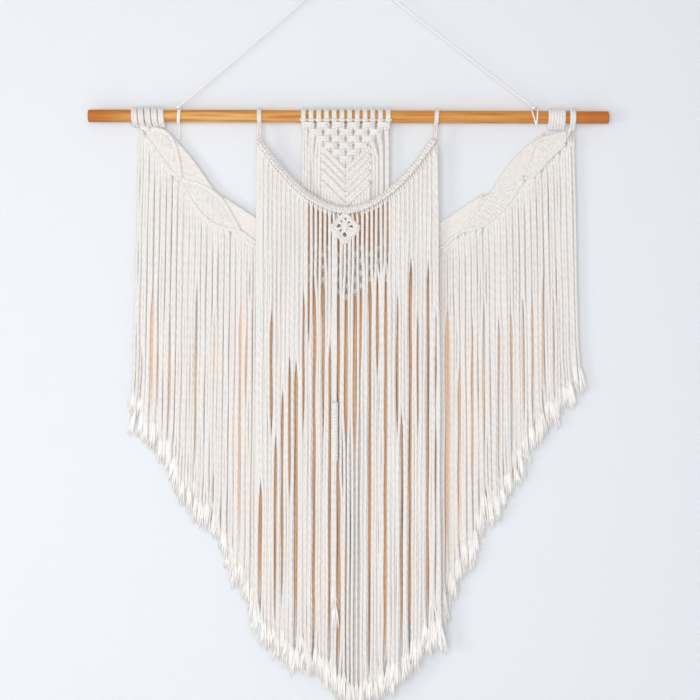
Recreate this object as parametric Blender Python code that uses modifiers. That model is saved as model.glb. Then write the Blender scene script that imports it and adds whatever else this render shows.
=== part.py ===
"""Macrame wall hanging on a wooden dowel.

The origin is where the hanging cord rests on its wall hook. +Z is up, +X is the
viewer's right, and the front faces -Y. Tables are in millimetres: x from the hook,
drop below the dowel's axis.
"""

import math
import random

import bmesh
import bpy
from mathutils import Vector

MM = 0.001
CLEARANCE = 0.3 * MM
MERGE = 0.01 * MM

# Dowel
DOWEL_LENGTH = 914 * MM
DOWEL_RADIUS = 11 * MM
DOWEL_CENTRE_X = 3.5 * MM
DOWEL_DROP = 268 * MM
DOWEL_EDGE = 1 * MM
DOWEL_SIDES = 32

# Hanging cord and its ties on the dowel
CORD_RADIUS = 1.5 * MM
CORD_POINTS_A_LEG = 24
CORD_BOW = 1.5 * MM
CORD_END_HEIGHT = 6 * MM
HOOK_BEND_RADIUS = 6 * MM
HOOK_BEND_POINTS = 6
LEFT_TIE_X = -294.5 * MM
RIGHT_TIE_X = 329 * MM
LEFT_TIE_LEAN = -2 * MM
RIGHT_TIE_LEAN = 3 * MM
TIE_KNOT_HALF = (4.2 * MM, 3 * MM, 2.1 * MM)
TIE_KNOT_HEIGHT = DOWEL_RADIUS + 2.6 * MM
TIE_SLACK = 0.4 * MM
TIE_SEGMENTS = 12
TIE_TURN = math.radians(358)

# Lark's heads that hold each piece on the dowel
HEAD_THICKNESS = 4.2 * MM
HEAD_ROUNDING = 1
HEAD_SEGMENTS = 9
HEAD_INNER_RADIUS = (DOWEL_RADIUS + CLEARANCE) / math.cos(math.pi / HEAD_SEGMENTS)

# Layers, as depths of their middle planes from the dowel's axis; the front is negative
BACK_Y = 6.6 * MM
PANEL_Y = -1.5 * MM
SWAG_Y = -12.2 * MM
PLATE_THICKNESS = 4.4 * MM
CUTTER_DEPTH = 30 * MM

# Strands of the fringes, whose sides are as thick as the plates they hang from
STRAND_WIDTH = 4.2
STRAND_SWAY = 0.5
STRAND_BEND_SHARE = (0.45, 0.6)
TUFT_WIDTH = 1.25
TIP_SPREAD = 13
SEED = 17

# How far the fringe reaches, from left to right
FRINGE_TIPS = (
    # x, drop
    (-378, 545),
    (-340, 597),
    (-313, 615),
    (-294, 664),
    (-267, 709),
    (-225, 745),
    (-202, 806),
    (-169, 868),
    (-148, 921),
    (-98, 969),
    (-39, 990),
    (-10, 1034),
    (12, 1046),
    (75, 1017),
    (107, 989),
    (132, 955),
    (163, 929),
    (179, 885),
    (198, 829),
    (223, 783),
    (241, 727),
    (271, 702),
    (307, 639),
    (325, 586),
    (355, 556),
    (390, 516),
    (416, 469),
)

# The back garland's band, section by section from the left end to the right end
BAND_SECTIONS = (
    # upper x, upper drop, lower x, lower drop
    (-318, 12, -376, 12),
    (-306, 35, -366, 40),
    (-283, 63, -344, 68),
    (-264, 89, -322, 96),
    (-244, 114, -295, 122),
    (-225, 138, -274, 147),
    (-202, 154, -251, 172),
    (-177, 170, -227, 193),
    (-148, 186, -186, 214),
    (-119, 203, -148, 244),
    (-88, 223, -98, 274),
    (-49, 238, -56, 286),
    (0, 249, 0, 323),
    (56, 240, 56, 289),
    (104, 226, 114, 288),
    (144, 203, 170, 256),
    (174, 182, 195, 217),
    (200, 166, 234, 202),
    (225, 151, 260, 180),
    (248, 133, 285, 151),
    (271, 107, 311, 117),
    (293, 79, 346, 94),
    (314, 52, 376, 63),
    (336, 26, 398, 38),
    (348, 12, 407, 12),
)
BAND_RIBS = 3
BAND_THICKNESS = 6.4 * MM

# Ridges of double half hitches on the wings, each one a bar
RIDGE_RADIUS = 3.2 * MM
RIDGE_FORWARD = 1.4 * MM
WING_RIDGES = (
    # x, drop along each ridge
    ((-344, 21), (-318, 28), (-300, 55), (-291, 100)),
    ((-351, 36), (-316, 86), (-287, 124)),
    ((-281, 115), (-248, 124), (-221, 144), (-188, 196)),
    ((-281, 129), (-257, 165), (-230, 184), (-181, 206)),
    ((-172, 208), (-148, 226), (-92, 256)),
    ((388, 26), (362, 33), (336, 42), (313, 100)),
    ((385, 45), (332, 98), (304, 114)),
    ((297, 116), (272, 130), (244, 142), (209, 196)),
    ((299, 127), (285, 151), (253, 182), (202, 206)),
    ((194, 202), (170, 228), (110, 262)),
)
BACK_HEADS = (
    # x, width
    (-373, 9),
    (-362, 9),
    (-350, 9),
    (-339, 9),
    (-328, 9),
    (358, 9),
    (368, 9),
    (378, 9),
    (397, 9),
)
BACK_NET_KNOTS = (
    # x, drop
    (0, 275),
    (-28, 275),
    (28, 275),
    (-14, 286),
    (14, 286),
    (0, 297),
    (0, 316),
)
BACK_NET_HOLES = (
    # x, drop
    (-14, 275),
    (14, 275),
    (0, 286),
    (-14, 297),
    (14, 297),
    (0, 307),
    (-41, 267),
    (-41, 281),
    (28, 262),
    (-56, 257),
    (-74, 250),
)
BACK_HOLE_SIZE = (5, 7)
BACK_KNOT_SIZE = (11, 8)
BACK_STRAND_PITCH = 7.2
BACK_STRAND_FAN = 0.02
BACK_STRAND_DEPTH = 1.1 * MM

# Centre panel: net of square knots over a stack of V ridges
PANEL_X = -1
NET_ROWS = 6
NET_PITCH = 26.6
NET_ROW_DROP = 12.1
NET_TOP_DROP = 17.8
NET_HOLE_SIZE = (5.6, 6.4)
KNOT_SIZE = (19.6, 9.6)
KNOT_HEIGHT = 3.9 * MM
KNOT_BACK = 1.6 * MM
KNOT_FOOT = 0.64
KNOT_CROWN = 0.44
PANEL_HALF_OUTLINE = (
    # half width, drop, from the top corner down to the tip
    (76, 12.6),
    (76, 31),
    (61, 52),
    (54, 73),
    (45, 91),
    (45, 118),
    (0, 163),
)
CHEVRON_TIPS = (96, 110, 124, 138, 157)
CHEVRON_REACH = 43
CHEVRON_RADIUS = 2.9 * MM
CHEVRON_FORWARD = 1.2 * MM
PANEL_HEADS = 12
PANEL_HEAD_PITCH = 13.5
PANEL_HEAD_WIDTH = 8.6
PANEL_STRAND_PITCH = 7.2
PANEL_STRAND_DEPTH = 0.5 * MM
PANEL_STRAND_SHORTER = 25

# Chain of small knots on one long strand of the centre panel
SINNET_X = -19
SINNET_DROPS = (474, 600)
SINNET_KNOTS = 12
SINNET_TIP = 880
SINNET_RADIUS = 4 * MM
SINNET_ROOT = 132
SINNET_WAIST = 0.7
SINNET_TAPER = 8

# Front swag
SWAG_HALF_SPAN = 153
SWAG_TOP_DROP = 42
SWAG_SAG = 123
SWAG_CURVE = 1.9
SWAG_ROPE_HEIGHT = 10.5
SWAG_ROPE_DEPTH = 11 * MM
SWAG_HEAD_WAIST = 0.78
SWAG_LOOPS = (
    # x, width
    (-153, 13),
    (159, 12),
)
SWAG_LEG_RADIUS = 4.2 * MM
SWAG_LEG_TOP = 10.5
SWAG_LEG_TOP_Y = -10.8 * MM
SWAG_LEG_OVERLAP = 6
SWAG_STRANDS = 60
SWAG_STRAND_WIDTH = 3.5
SWAG_STRAND_DEPTH = 1.3 * MM

# Small open diamond under the swag
DIAMOND_X = -2
DIAMOND_TOP = 168
DIAMOND_HALF = (26, 27)
DIAMOND_BAR_RADIUS = 2.9 * MM
DIAMOND_HOLE_SIZE = (6, 7)
DIAMOND_HANGERS = (-20, 16.5)
DIAMOND_HANGER_TOP = 160
DIAMOND_HANGER_OVERLAP = 4
DIAMOND_BAR_FORWARD = 0.7 * MM
DIAMOND_BAR_LAP = 0.4 * MM
DIAMOND_STRAND_PITCH = 6


def place(x, drop, y):
    """A point in metres from a table's x and drop, both in millimetres."""
    return Vector((x * MM, y, -(DOWEL_DROP + drop * MM)))


def between(table, x):
    """The drop at x on a line given by rows of x and drop."""
    if x <= table[0][0]:
        return table[0][1]
    for (x0, drop0), (x1, drop1) in zip(table, table[1:]):
        if x <= x1:
            return drop0 + (drop1 - drop0) * (x - x0) / (x1 - x0)
    return table[-1][1]


def clear_scene():
    for thing in list(bpy.data.objects):
        bpy.data.objects.remove(thing, do_unlink=True)


def new_collection(name):
    collection = bpy.data.collections.new(name)
    bpy.context.scene.collection.children.link(collection)
    return collection


def new_material(name, colour, roughness):
    material = bpy.data.materials.new(name)
    material.use_nodes = True
    shader = material.node_tree.nodes["Principled BSDF"]
    shader.inputs["Base Color"].default_value = (*colour, 1.0)
    shader.inputs["Roughness"].default_value = roughness
    shader.inputs["Metallic"].default_value = 0.0
    return material


def mesh_object(name, form, collection):
    """An object in the collection from a bmesh, faces outward and cut to triangles."""
    bmesh.ops.recalc_face_normals(form, faces=form.faces)
    bmesh.ops.triangulate(form, faces=form.faces)
    mesh = bpy.data.meshes.new(name)
    form.to_mesh(mesh)
    form.free()
    thing = bpy.data.objects.new(name, mesh)
    collection.objects.link(thing)
    return thing


def tubes(name, routes, radius, collection, resolution=0):
    """Closed tubes along routes of (point, width factor), as one mesh object."""
    curve = bpy.data.curves.new(name, "CURVE")
    curve.dimensions = "3D"
    curve.bevel_depth = radius
    curve.bevel_resolution = resolution
    curve.use_fill_caps = True
    for route in routes:
        spline = curve.splines.new("POLY")
        spline.points.add(len(route) - 1)
        for point, (where, width) in zip(spline.points, route):
            point.co = (*where, 1.0)
            point.radius = width
    guide = bpy.data.objects.new(name + "_guide", curve)
    collection.objects.link(guide)
    bpy.context.view_layer.update()
    shape = guide.evaluated_get(bpy.context.evaluated_depsgraph_get())
    form = bmesh.new()
    form.from_mesh(bpy.data.meshes.new_from_object(shape))
    bmesh.ops.remove_doubles(form, verts=form.verts, dist=MERGE)
    bpy.data.objects.remove(guide, do_unlink=True)
    return mesh_object(name, form, collection)


def even_route(points):
    return [(point, 1.0) for point in points]


def combine(base, other, operation="UNION", crossing=False):
    """Boolean modifier with the exact solver; the other object stays as a guide."""
    step = base.modifiers.new(other.name, "BOOLEAN")
    step.operation = operation
    step.solver = "EXACT"
    step.use_self = crossing
    step.object = other
    other.hide_render = True
    other.display_type = "WIRE"


def larks_heads(name, heads, collection):
    """Rings round the dowel, one for each row of x and width."""
    form = bmesh.new()
    inner = HEAD_INNER_RADIUS
    outer = inner + HEAD_THICKNESS
    for x, width in heads:
        half = width / 2
        corners = [
            place(x - half, 0, -inner),
            place(x + half, 0, -inner),
            place(x + half - HEAD_ROUNDING, 0, -outer),
            place(x - half + HEAD_ROUNDING, 0, -outer),
        ]
        verts = [form.verts.new(corner) for corner in corners]
        edges = [form.edges.new((verts[i], verts[(i + 1) % 4])) for i in range(4)]
        bmesh.ops.spin(
            form,
            geom=verts + edges,
            cent=place(x, 0, 0),
            axis=(1, 0, 0),
            angle=2 * math.pi,
            steps=HEAD_SEGMENTS,
            use_merge=True,
        )
    bmesh.ops.remove_doubles(form, verts=form.verts, dist=MERGE)
    return mesh_object(name, form, collection)


def diamond_cutters(name, rows, size, y, collection):
    """Four-sided prisms through a layer, one for each row of x and drop."""
    form = bmesh.new()
    for x, drop in rows:
        made = bmesh.ops.create_cone(
            form, cap_ends=True, segments=4, radius1=0.5, radius2=0.5, depth=1
        )
        for vert in made["verts"]:
            across, along, deep = vert.co
            vert.co = place(x + across * size[0], drop + along * size[1], y + deep * CUTTER_DEPTH)
    return mesh_object(name, form, collection)


def knots(name, rows, size, height, y, collection):
    """Six-sided lumps that stand proud of a plate's front, broad at its middle plane."""
    form = bmesh.new()
    for x, drop in rows:
        made = bmesh.ops.create_cone(
            form, cap_ends=True, segments=6, radius1=KNOT_FOOT, radius2=KNOT_CROWN, depth=1
        )
        for vert in made["verts"]:
            across, along, deep = vert.co
            vert.co = place(
                x + across * size[0],
                drop + along * size[1],
                y - height if deep > 0 else y + KNOT_BACK,
            )
    return mesh_object(name, form, collection)


def new_sheet():
    """An empty sheet whose points can hold a share of its thickness."""
    form = bmesh.new()
    form.verts.layers.deform.verify()
    return form


def sheet_point(form, where, share=1.0):
    """A vertex of a sheet, with the share of the sheet's full thickness it has there."""
    point = form.verts.new(where)
    point[form.verts.layers.deform.active][0] = share
    return point


def sheet_object(name, form, thickness, collection):
    """A closed solid from a sheet's middle surface, as thick at each point as its share says."""
    sheet = mesh_object(name, form, collection)
    sheet.vertex_groups.new(name="thickness")
    shell = sheet.modifiers.new("thickness", "SOLIDIFY")
    shell.thickness = thickness
    shell.offset = 0
    shell.vertex_group = "thickness"
    cut = sheet.modifiers.new("triangles", "TRIANGULATE")
    cut.min_vertices = 4
    return sheet


def strand_rim(form, start, end, pitch, y, share):
    """Root points of the strands between two corners of a hem: (left, right) pairs, evenly set."""
    count = round(abs(end[0] - start[0]) / pitch)
    pairs = []
    for i in range(count):
        middle = (i + 0.5) / count
        half = STRAND_WIDTH / 2 / abs(end[0] - start[0])
        pair = []
        for t in (middle - half, middle + half):
            x = start[0] + (end[0] - start[0]) * t
            drop = start[1] + (end[1] - start[1]) * t
            pair.append(sheet_point(form, place(x, drop, y), share))
        pairs.append(tuple(pair))
    return pairs


def hang_strand(form, rng, pair, tip_drop, lean, depth, share):
    """Two lengths of strand under a pair of root points, wandering a little and tufted at the tip."""
    left, right = pair
    middle = rng.uniform(*STRAND_BEND_SHARE)
    sway = rng.uniform(-STRAND_SWAY, STRAND_SWAY)
    root_drop = -(left.co.z + DOWEL_DROP) / MM
    root_x = (left.co.x + right.co.x) / 2 / MM
    half = abs(right.co.x - left.co.x) / 2 / MM
    side = 1 if right.co.x > left.co.x else -1
    upper = (left, right)
    y = left.co.y + depth
    for t, wander, width in ((middle, sway, 1.0), (1.0, 0.0, TUFT_WIDTH)):
        x = root_x + lean * t + wander
        drop = root_drop + (tip_drop - root_drop) * t
        lower = tuple(
            sheet_point(form, place(x + side * end * half * width, drop, y), share)
            for end in (-1, 1)
        )
        form.faces.new((upper[0], upper[1], lower[1], lower[0]))
        upper = lower


def make_dowel(collection):
    bpy.ops.mesh.primitive_cylinder_add(
        vertices=DOWEL_SIDES,
        radius=DOWEL_RADIUS,
        depth=DOWEL_LENGTH,
        location=(DOWEL_CENTRE_X, 0, -DOWEL_DROP),
        rotation=(0, math.pi / 2, 0),
    )
    dowel = bpy.context.object
    dowel.name = "dowel"
    edge = dowel.modifiers.new("worn edge", "BEVEL")
    edge.width = DOWEL_EDGE
    edge.segments = 1
    edge.limit_method = "ANGLE"
    for owner in list(dowel.users_collection):
        owner.objects.unlink(dowel)
    collection.objects.link(dowel)
    return dowel


def cord_route():
    """The hanging cord's middle line: a nearly straight leg to each tie from a bend over the hook."""
    centre = Vector((0, 0, CORD_RADIUS - HOOK_BEND_RADIUS))
    legs = []
    contacts = []
    for x, side in ((LEFT_TIE_X, -1), (RIGHT_TIE_X, 1)):
        tie = Vector((x, 0, -DOWEL_DROP + DOWEL_RADIUS + CORD_END_HEIGHT))
        away = tie - centre
        contact = math.atan2(away.z, away.x) % (2 * math.pi)
        contact += side * math.acos(HOOK_BEND_RADIUS / away.length)
        contacts.append(contact % (2 * math.pi))
        arm = Vector((math.cos(contact), 0, math.sin(contact)))
        touch = centre + arm * HOOK_BEND_RADIUS
        leg = []
        for i in range(CORD_POINTS_A_LEG):
            t = i / CORD_POINTS_A_LEG
            leg.append(tie.lerp(touch, t) - arm * CORD_BOW * math.sin(math.pi * t))
        legs.append(leg)
    bend = []
    for i in range(HOOK_BEND_POINTS):
        angle = contacts[0] + (contacts[1] - contacts[0]) * i / (HOOK_BEND_POINTS - 1)
        bend.append(centre + Vector((math.cos(angle), 0, math.sin(angle))) * HOOK_BEND_RADIUS)
    return legs[0] + bend + legs[1][::-1]


def make_hanging_cord(collection):
    return tubes("hanging_cord", [even_route(cord_route())], CORD_RADIUS, collection, 2)


def make_tie(name, x, lean, guides, collection):
    """One turn of the cord round the dowel, leaning by `lean` at its foot, with a knot on top."""
    form = bmesh.new()
    bmesh.ops.create_uvsphere(form, u_segments=8, v_segments=5, radius=1)
    for vert in form.verts:
        vert.co = vert.co * Vector(TIE_KNOT_HALF) + Vector((x, 0, TIE_KNOT_HEIGHT - DOWEL_DROP))
    tie = mesh_object(name, form, collection)
    reach = DOWEL_RADIUS + CLEARANCE + CORD_RADIUS + TIE_SLACK
    ring = []
    for i in range(TIE_SEGMENTS + 1):
        angle = TIE_TURN * i / TIE_SEGMENTS
        side = lean * (1 - math.cos(angle)) / 2
        ring.append(
            Vector(
                (x + side, -reach * math.sin(angle), reach * math.cos(angle) - DOWEL_DROP)
            )
        )
    combine(tie, tubes(name + "_turn", [even_route(ring)], CORD_RADIUS, guides))
    return tie


def make_back_garland(collection, guides):
    rng = random.Random(SEED)
    thin = PLATE_THICKNESS / BAND_THICKNESS
    across = 2 * BAND_RIBS
    form = new_sheet()
    rows = []
    for upper_x, upper_drop, lower_x, lower_drop in BAND_SECTIONS:
        row = []
        for j in range(across + 1):
            share = j / across
            x = upper_x + (lower_x - upper_x) * share
            drop = upper_drop + (lower_drop - upper_drop) * share
            row.append(sheet_point(form, place(x, drop, BACK_Y), 1.0 if j % 2 else thin))
        rows.append(row)
    for i, (left, right) in enumerate(zip(rows, rows[1:])):
        for j in range(across - 1):
            form.faces.new((left[j], left[j + 1], right[j + 1], right[j]))
        hem = []
        if 0 < i < len(rows) - 2:
            start, end = BAND_SECTIONS[i][2:], BAND_SECTIONS[i + 1][2:]
            pairs = strand_rim(form, start, end, BACK_STRAND_PITCH, BACK_Y, thin)
            for pair in pairs:
                hem += pair
                x = pair[0].co.x / MM
                lean = x * BACK_STRAND_FAN
                tip = between(FRINGE_TIPS, x + lean) - abs(rng.gauss(0, TIP_SPREAD))
                depth = rng.uniform(-BACK_STRAND_DEPTH, BACK_STRAND_DEPTH)
                hang_strand(form, rng, pair, tip, lean, depth, thin)
        form.faces.new((left[-2], left[-1], *hem, right[-1], right[-2]))
    band = sheet_object("back_garland", form, BAND_THICKNESS, collection)
    ridges = [
        even_route([place(x, drop, BACK_Y - RIDGE_FORWARD) for x, drop in ridge])
        for ridge in WING_RIDGES
    ]
    combine(band, tubes("wing_ridges", ridges, RIDGE_RADIUS, guides))
    combine(band, knots("back_net_knots", BACK_NET_KNOTS, BACK_KNOT_SIZE, KNOT_HEIGHT, BACK_Y, guides))
    combine(band, larks_heads("back_heads", BACK_HEADS, guides))
    holes = diamond_cutters("back_net_holes", BACK_NET_HOLES, BACK_HOLE_SIZE, BACK_Y, guides)
    combine(band, holes, "DIFFERENCE")
    return band


def net_places(rows, shift=0):
    """Knots of the net, row by row; a shift of one gives the holes between them."""
    for row in range(rows - shift):
        count = rows - row - shift
        for i in range(count):
            x = PANEL_X + (i - (count - 1) / 2) * NET_PITCH
            yield x, NET_TOP_DROP + row * NET_ROW_DROP


def hemmed_outline(form, corners, hems, pitch, y, hang):
    """One face round the corners, with strands hung by `hang` from the sides named in `hems`."""
    around = []
    for i, corner in enumerate(corners):
        around.append(sheet_point(form, place(*corner, y)))
        if i in hems:
            following = corners[(i + 1) % len(corners)]
            for pair in strand_rim(form, corner, following, pitch, y, 1.0):
                around += pair
                hang(pair)
    form.faces.new(around)


def make_centre_panel(collection, guides):
    rng = random.Random(SEED + 1)
    right = [(PANEL_X + half, drop) for half, drop in PANEL_HALF_OUTLINE]
    left = [(PANEL_X - half, drop) for half, drop in reversed(PANEL_HALF_OUTLINE[:-1])]
    corners = right + left
    slanted = [
        i
        for i in range(len(corners) - 1)
        if abs(corners[i + 1][0] - corners[i][0]) > STRAND_WIDTH
    ]
    form = new_sheet()

    def hang(pair):
        x = pair[0].co.x / MM
        if abs(x - SINNET_X) < PANEL_STRAND_PITCH:
            return
        tip = between(FRINGE_TIPS, x) - PANEL_STRAND_SHORTER - abs(rng.gauss(0, 2 * TIP_SPREAD))
        depth = rng.uniform(-PANEL_STRAND_DEPTH, PANEL_STRAND_DEPTH)
        hang_strand(form, rng, pair, tip, 0, depth, 1.0)

    hemmed_outline(form, corners, slanted, PANEL_STRAND_PITCH, PANEL_Y, hang)
    panel = sheet_object("centre_panel", form, PLATE_THICKNESS, collection)
    combine(panel, knots("net_knots", net_places(NET_ROWS), KNOT_SIZE, KNOT_HEIGHT, PANEL_Y, guides))
    reach = CHEVRON_REACH
    chevrons = [
        even_route(
            [
                place(PANEL_X + side * reach, tip - abs(side) * reach, PANEL_Y - CHEVRON_FORWARD)
                for side in (-1, 0, 1)
            ]
        )
        for tip in CHEVRON_TIPS
    ]
    combine(panel, tubes("chevrons", chevrons, CHEVRON_RADIUS, guides))
    heads = [
        (PANEL_X + (i - (PANEL_HEADS - 1) / 2) * PANEL_HEAD_PITCH, PANEL_HEAD_WIDTH)
        for i in range(PANEL_HEADS)
    ]
    combine(panel, larks_heads("panel_heads", heads, guides))
    combine(panel, make_sinnet(guides))
    holes = diamond_cutters("net_holes", net_places(NET_ROWS, 1), NET_HOLE_SIZE, PANEL_Y, guides)
    combine(panel, holes, "DIFFERENCE")
    return panel


def make_sinnet(guides):
    """A long strand with a chain of knots on it, each one a swelling of the strand."""
    first, last = SINNET_DROPS
    slim = STRAND_WIDTH / 2 * MM / SINNET_RADIUS
    route = [(place(SINNET_X, SINNET_ROOT, PANEL_Y), slim)]
    route.append((place(SINNET_X, first - SINNET_TAPER, PANEL_Y), slim))
    steps = 2 * SINNET_KNOTS
    for i in range(steps + 1):
        drop = first + (last - first) * i / steps
        route.append((place(SINNET_X, drop, PANEL_Y), 1.0 if i % 2 else SINNET_WAIST))
    route.append((place(SINNET_X, last + SINNET_TAPER, PANEL_Y), slim))
    route.append((place(SINNET_X, SINNET_TIP, PANEL_Y), slim * TUFT_WIDTH))
    return tubes("sinnet", [route], SINNET_RADIUS, guides)


def swag_drop(x):
    """The swag rope's drop at x, rounder than a parabola near its ends."""
    share = min(1.0, abs(x) / SWAG_HALF_SPAN)
    return SWAG_TOP_DROP + SWAG_SAG * (1 - share**SWAG_CURVE)


def swag_across(x):
    """Unit vector square to the rope at x, as (x, drop), pointing down and outward."""
    step = 1.0
    rise = swag_drop(min(x + step, SWAG_HALF_SPAN)) - swag_drop(max(x - step, -SWAG_HALF_SPAN))
    run = min(x + step, SWAG_HALF_SPAN) - max(x - step, -SWAG_HALF_SPAN)
    length = math.hypot(rise, run)
    return -rise / length, run / length


def make_swag_sheet(rng, collection):
    """Rope and fringe of the swag: three rows of points along the rope, strands below them."""
    thin = PLATE_THICKNESS / SWAG_ROPE_DEPTH
    pitch = 2 * SWAG_HALF_SPAN / SWAG_STRANDS
    form = new_sheet()
    columns = []
    for i in range(SWAG_STRANDS):
        for side in (-1, 1):
            x = -SWAG_HALF_SPAN + pitch * (i + 0.5) + side * SWAG_STRAND_WIDTH / 2
            across, down = swag_across(x)
            column = []
            for row in (-1, 0, 1):
                where = place(
                    x + across * row * SWAG_ROPE_HEIGHT / 2,
                    swag_drop(x) + down * row * SWAG_ROPE_HEIGHT / 2,
                    SWAG_Y,
                )
                centre_share = 1.0 if side > 0 else SWAG_HEAD_WAIST
                column.append(sheet_point(form, where, thin if row else centre_share))
            columns.append(column)
    for left, right in zip(columns, columns[1:]):
        for j in range(2):
            form.faces.new((left[j], left[j + 1], right[j + 1], right[j]))
    for i in range(SWAG_STRANDS):
        pair = (columns[2 * i][2], columns[2 * i + 1][2])
        x = pair[0].co.x / MM
        if abs(x - DIAMOND_X) < DIAMOND_HALF[0]:
            continue
        tip = between(FRINGE_TIPS, x) - abs(rng.gauss(0, TIP_SPREAD))
        depth = SWAG_STRAND_DEPTH * (1 if i % 2 else -1)
        hang_strand(form, rng, pair, tip, 0, depth, thin)
    return sheet_object("front_swag", form, SWAG_ROPE_DEPTH, collection)


def make_diamond(rng, guides):
    """The small diamond with the strands that hang from its two lower sides."""
    half_x, half_drop = DIAMOND_HALF
    middle = DIAMOND_TOP + half_drop
    corners = [
        (DIAMOND_X, DIAMOND_TOP),
        (DIAMOND_X + half_x, middle),
        (DIAMOND_X, middle + half_drop),
        (DIAMOND_X - half_x, middle),
    ]
    form = new_sheet()

    def hang(pair):
        x = pair[0].co.x / MM
        tip = between(FRINGE_TIPS, x) - abs(rng.gauss(0, TIP_SPREAD))
        hang_strand(form, rng, pair, tip, 0, 0, 1.0)

    hemmed_outline(form, corners, (1, 2), DIAMOND_STRAND_PITCH, SWAG_Y, hang)
    return corners, sheet_object("diamond_plate", form, PLATE_THICKNESS, guides)


def make_front_swag(collection, guides):
    rng = random.Random(SEED + 2)
    swag = make_swag_sheet(rng, collection)
    legs = []
    for (x, width), side in zip(SWAG_LOOPS, (-1, 1)):
        end = side * SWAG_HALF_SPAN
        points = [
            place(x, SWAG_LEG_TOP, SWAG_LEG_TOP_Y),
            place((x + end) / 2, (SWAG_LEG_TOP + SWAG_TOP_DROP) / 2, SWAG_Y),
            place(end, SWAG_TOP_DROP + SWAG_LEG_OVERLAP, SWAG_Y),
        ]
        legs.append(even_route(points))
    combine(swag, tubes("swag_legs", legs, SWAG_LEG_RADIUS, guides))
    combine(swag, larks_heads("swag_loops", SWAG_LOOPS, guides))
    corners, plate = make_diamond(rng, guides)
    combine(swag, plate)
    middle = DIAMOND_TOP + DIAMOND_HALF[1]
    top, east, bottom, west = [place(x, drop, SWAG_Y - DIAMOND_BAR_FORWARD) for x, drop in corners]
    lap = Vector((0, DIAMOND_BAR_LAP, 0))
    routes = [even_route([west, top, east]), even_route([west + lap, bottom + lap, east + lap])]
    hanger_end = middle - DIAMOND_HANGER_OVERLAP
    for x in DIAMOND_HANGERS:
        ends = [place(x, DIAMOND_HANGER_TOP, SWAG_Y), place(x, hanger_end, SWAG_Y)]
        routes.append(even_route(ends))
    combine(swag, tubes("diamond_bars", routes, DIAMOND_BAR_RADIUS, guides), crossing=True)
    half_x, half_drop = DIAMOND_HALF
    spots = [
        (DIAMOND_X, middle - half_drop / 2),
        (DIAMOND_X, middle + half_drop / 2),
        (DIAMOND_X - half_x / 2, middle),
        (DIAMOND_X + half_x / 2, middle),
    ]
    holes = diamond_cutters("diamond_holes", spots, DIAMOND_HOLE_SIZE, SWAG_Y, guides)
    combine(swag, holes, "DIFFERENCE")
    return swag


def main():
    clear_scene()
    hanging = new_collection("macrame_wall_hanging")
    guides = new_collection("guides")
    wood = new_material("honey wood", (0.72, 0.36, 0.15), 0.5)
    cotton = new_material("cotton cord", (0.84, 0.79, 0.73), 0.9)
    twine = new_material("thin cotton twine", (0.82, 0.79, 0.74), 0.9)
    pieces = {
        wood: [make_dowel(hanging)],
        twine: [
            make_hanging_cord(hanging),
            make_tie("left_tie", LEFT_TIE_X, LEFT_TIE_LEAN, guides, hanging),
            make_tie("right_tie", RIGHT_TIE_X, RIGHT_TIE_LEAN, guides, hanging),
        ],
        cotton: [
            make_back_garland(hanging, guides),
            make_centre_panel(hanging, guides),
            make_front_swag(hanging, guides),
        ],
    }
    for material, things in pieces.items():
        for thing in things:
            thing.data.materials.append(material)


main()
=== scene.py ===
import math
import random

import bpy
import numpy
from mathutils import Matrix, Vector


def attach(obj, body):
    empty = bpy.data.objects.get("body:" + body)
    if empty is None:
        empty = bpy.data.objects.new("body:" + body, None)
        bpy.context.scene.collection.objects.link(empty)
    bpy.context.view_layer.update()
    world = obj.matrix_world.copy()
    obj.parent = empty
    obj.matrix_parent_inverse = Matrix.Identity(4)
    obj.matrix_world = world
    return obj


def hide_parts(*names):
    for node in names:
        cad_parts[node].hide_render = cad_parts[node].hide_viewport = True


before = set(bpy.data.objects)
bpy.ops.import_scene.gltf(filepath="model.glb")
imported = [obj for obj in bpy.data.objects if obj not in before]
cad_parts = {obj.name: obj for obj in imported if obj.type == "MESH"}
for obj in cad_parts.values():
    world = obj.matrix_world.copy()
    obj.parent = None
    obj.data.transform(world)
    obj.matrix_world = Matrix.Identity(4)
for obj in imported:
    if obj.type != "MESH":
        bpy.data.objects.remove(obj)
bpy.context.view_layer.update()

# A macrame wall hanging: a wooden dowel on a thin cord, with three knotted pieces hung from it.
# Tables are in millimetres: x from the hook, drop below the dowel's axis, y towards the wall.

MM = 0.001
TWO_PI = 2 * math.pi
SEED = 41

# Dowel and hanging cord, as in the solids
DOWEL_RADIUS = 11 * MM
DOWEL_DROP = 268 * MM
TWINE_RADIUS = 1.5 * MM
TWINE_POINTS_A_LEG = 24
TWINE_BOW = 1.5 * MM
TWINE_END_HEIGHT = 6 * MM
HOOK_BEND_RADIUS = 6 * MM
HOOK_BEND_POINTS = 6
LEFT_TIE_X = -294.5 * MM
RIGHT_TIE_X = 329 * MM

# Cord sizes
CORD_RADIUS = 2.5 * MM
HEAD_CORD_RADIUS = 2.1 * MM
LOCK_RADIUS = 2.15 * MM
CORD_SIDES = 8
LOCK_SIDES = 4
CORD_END_WIDTH = 0.75
STRAND_STEP = 14 * MM
KNOT_STEP = 1.8 * MM
BEND_STEP = 1.5 * KNOT_STEP
WING_STEP = 5 * MM
MERGE = 0.002 * MM

# Shades: 0 is cream and 1 is warm. Small random shades are a tone of the cotton; larger ones are
# painted warm shade, for strands deep in the fringe where shade falls. A strand's painted warm shade is
# full on its front and less behind
CORD_SHADES = (0.0, 0.1)
PALE_SHADES = (0.0, 0.08)
SHADE_FALL = 1.5
SHADE_BEHIND = 0.15

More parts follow.
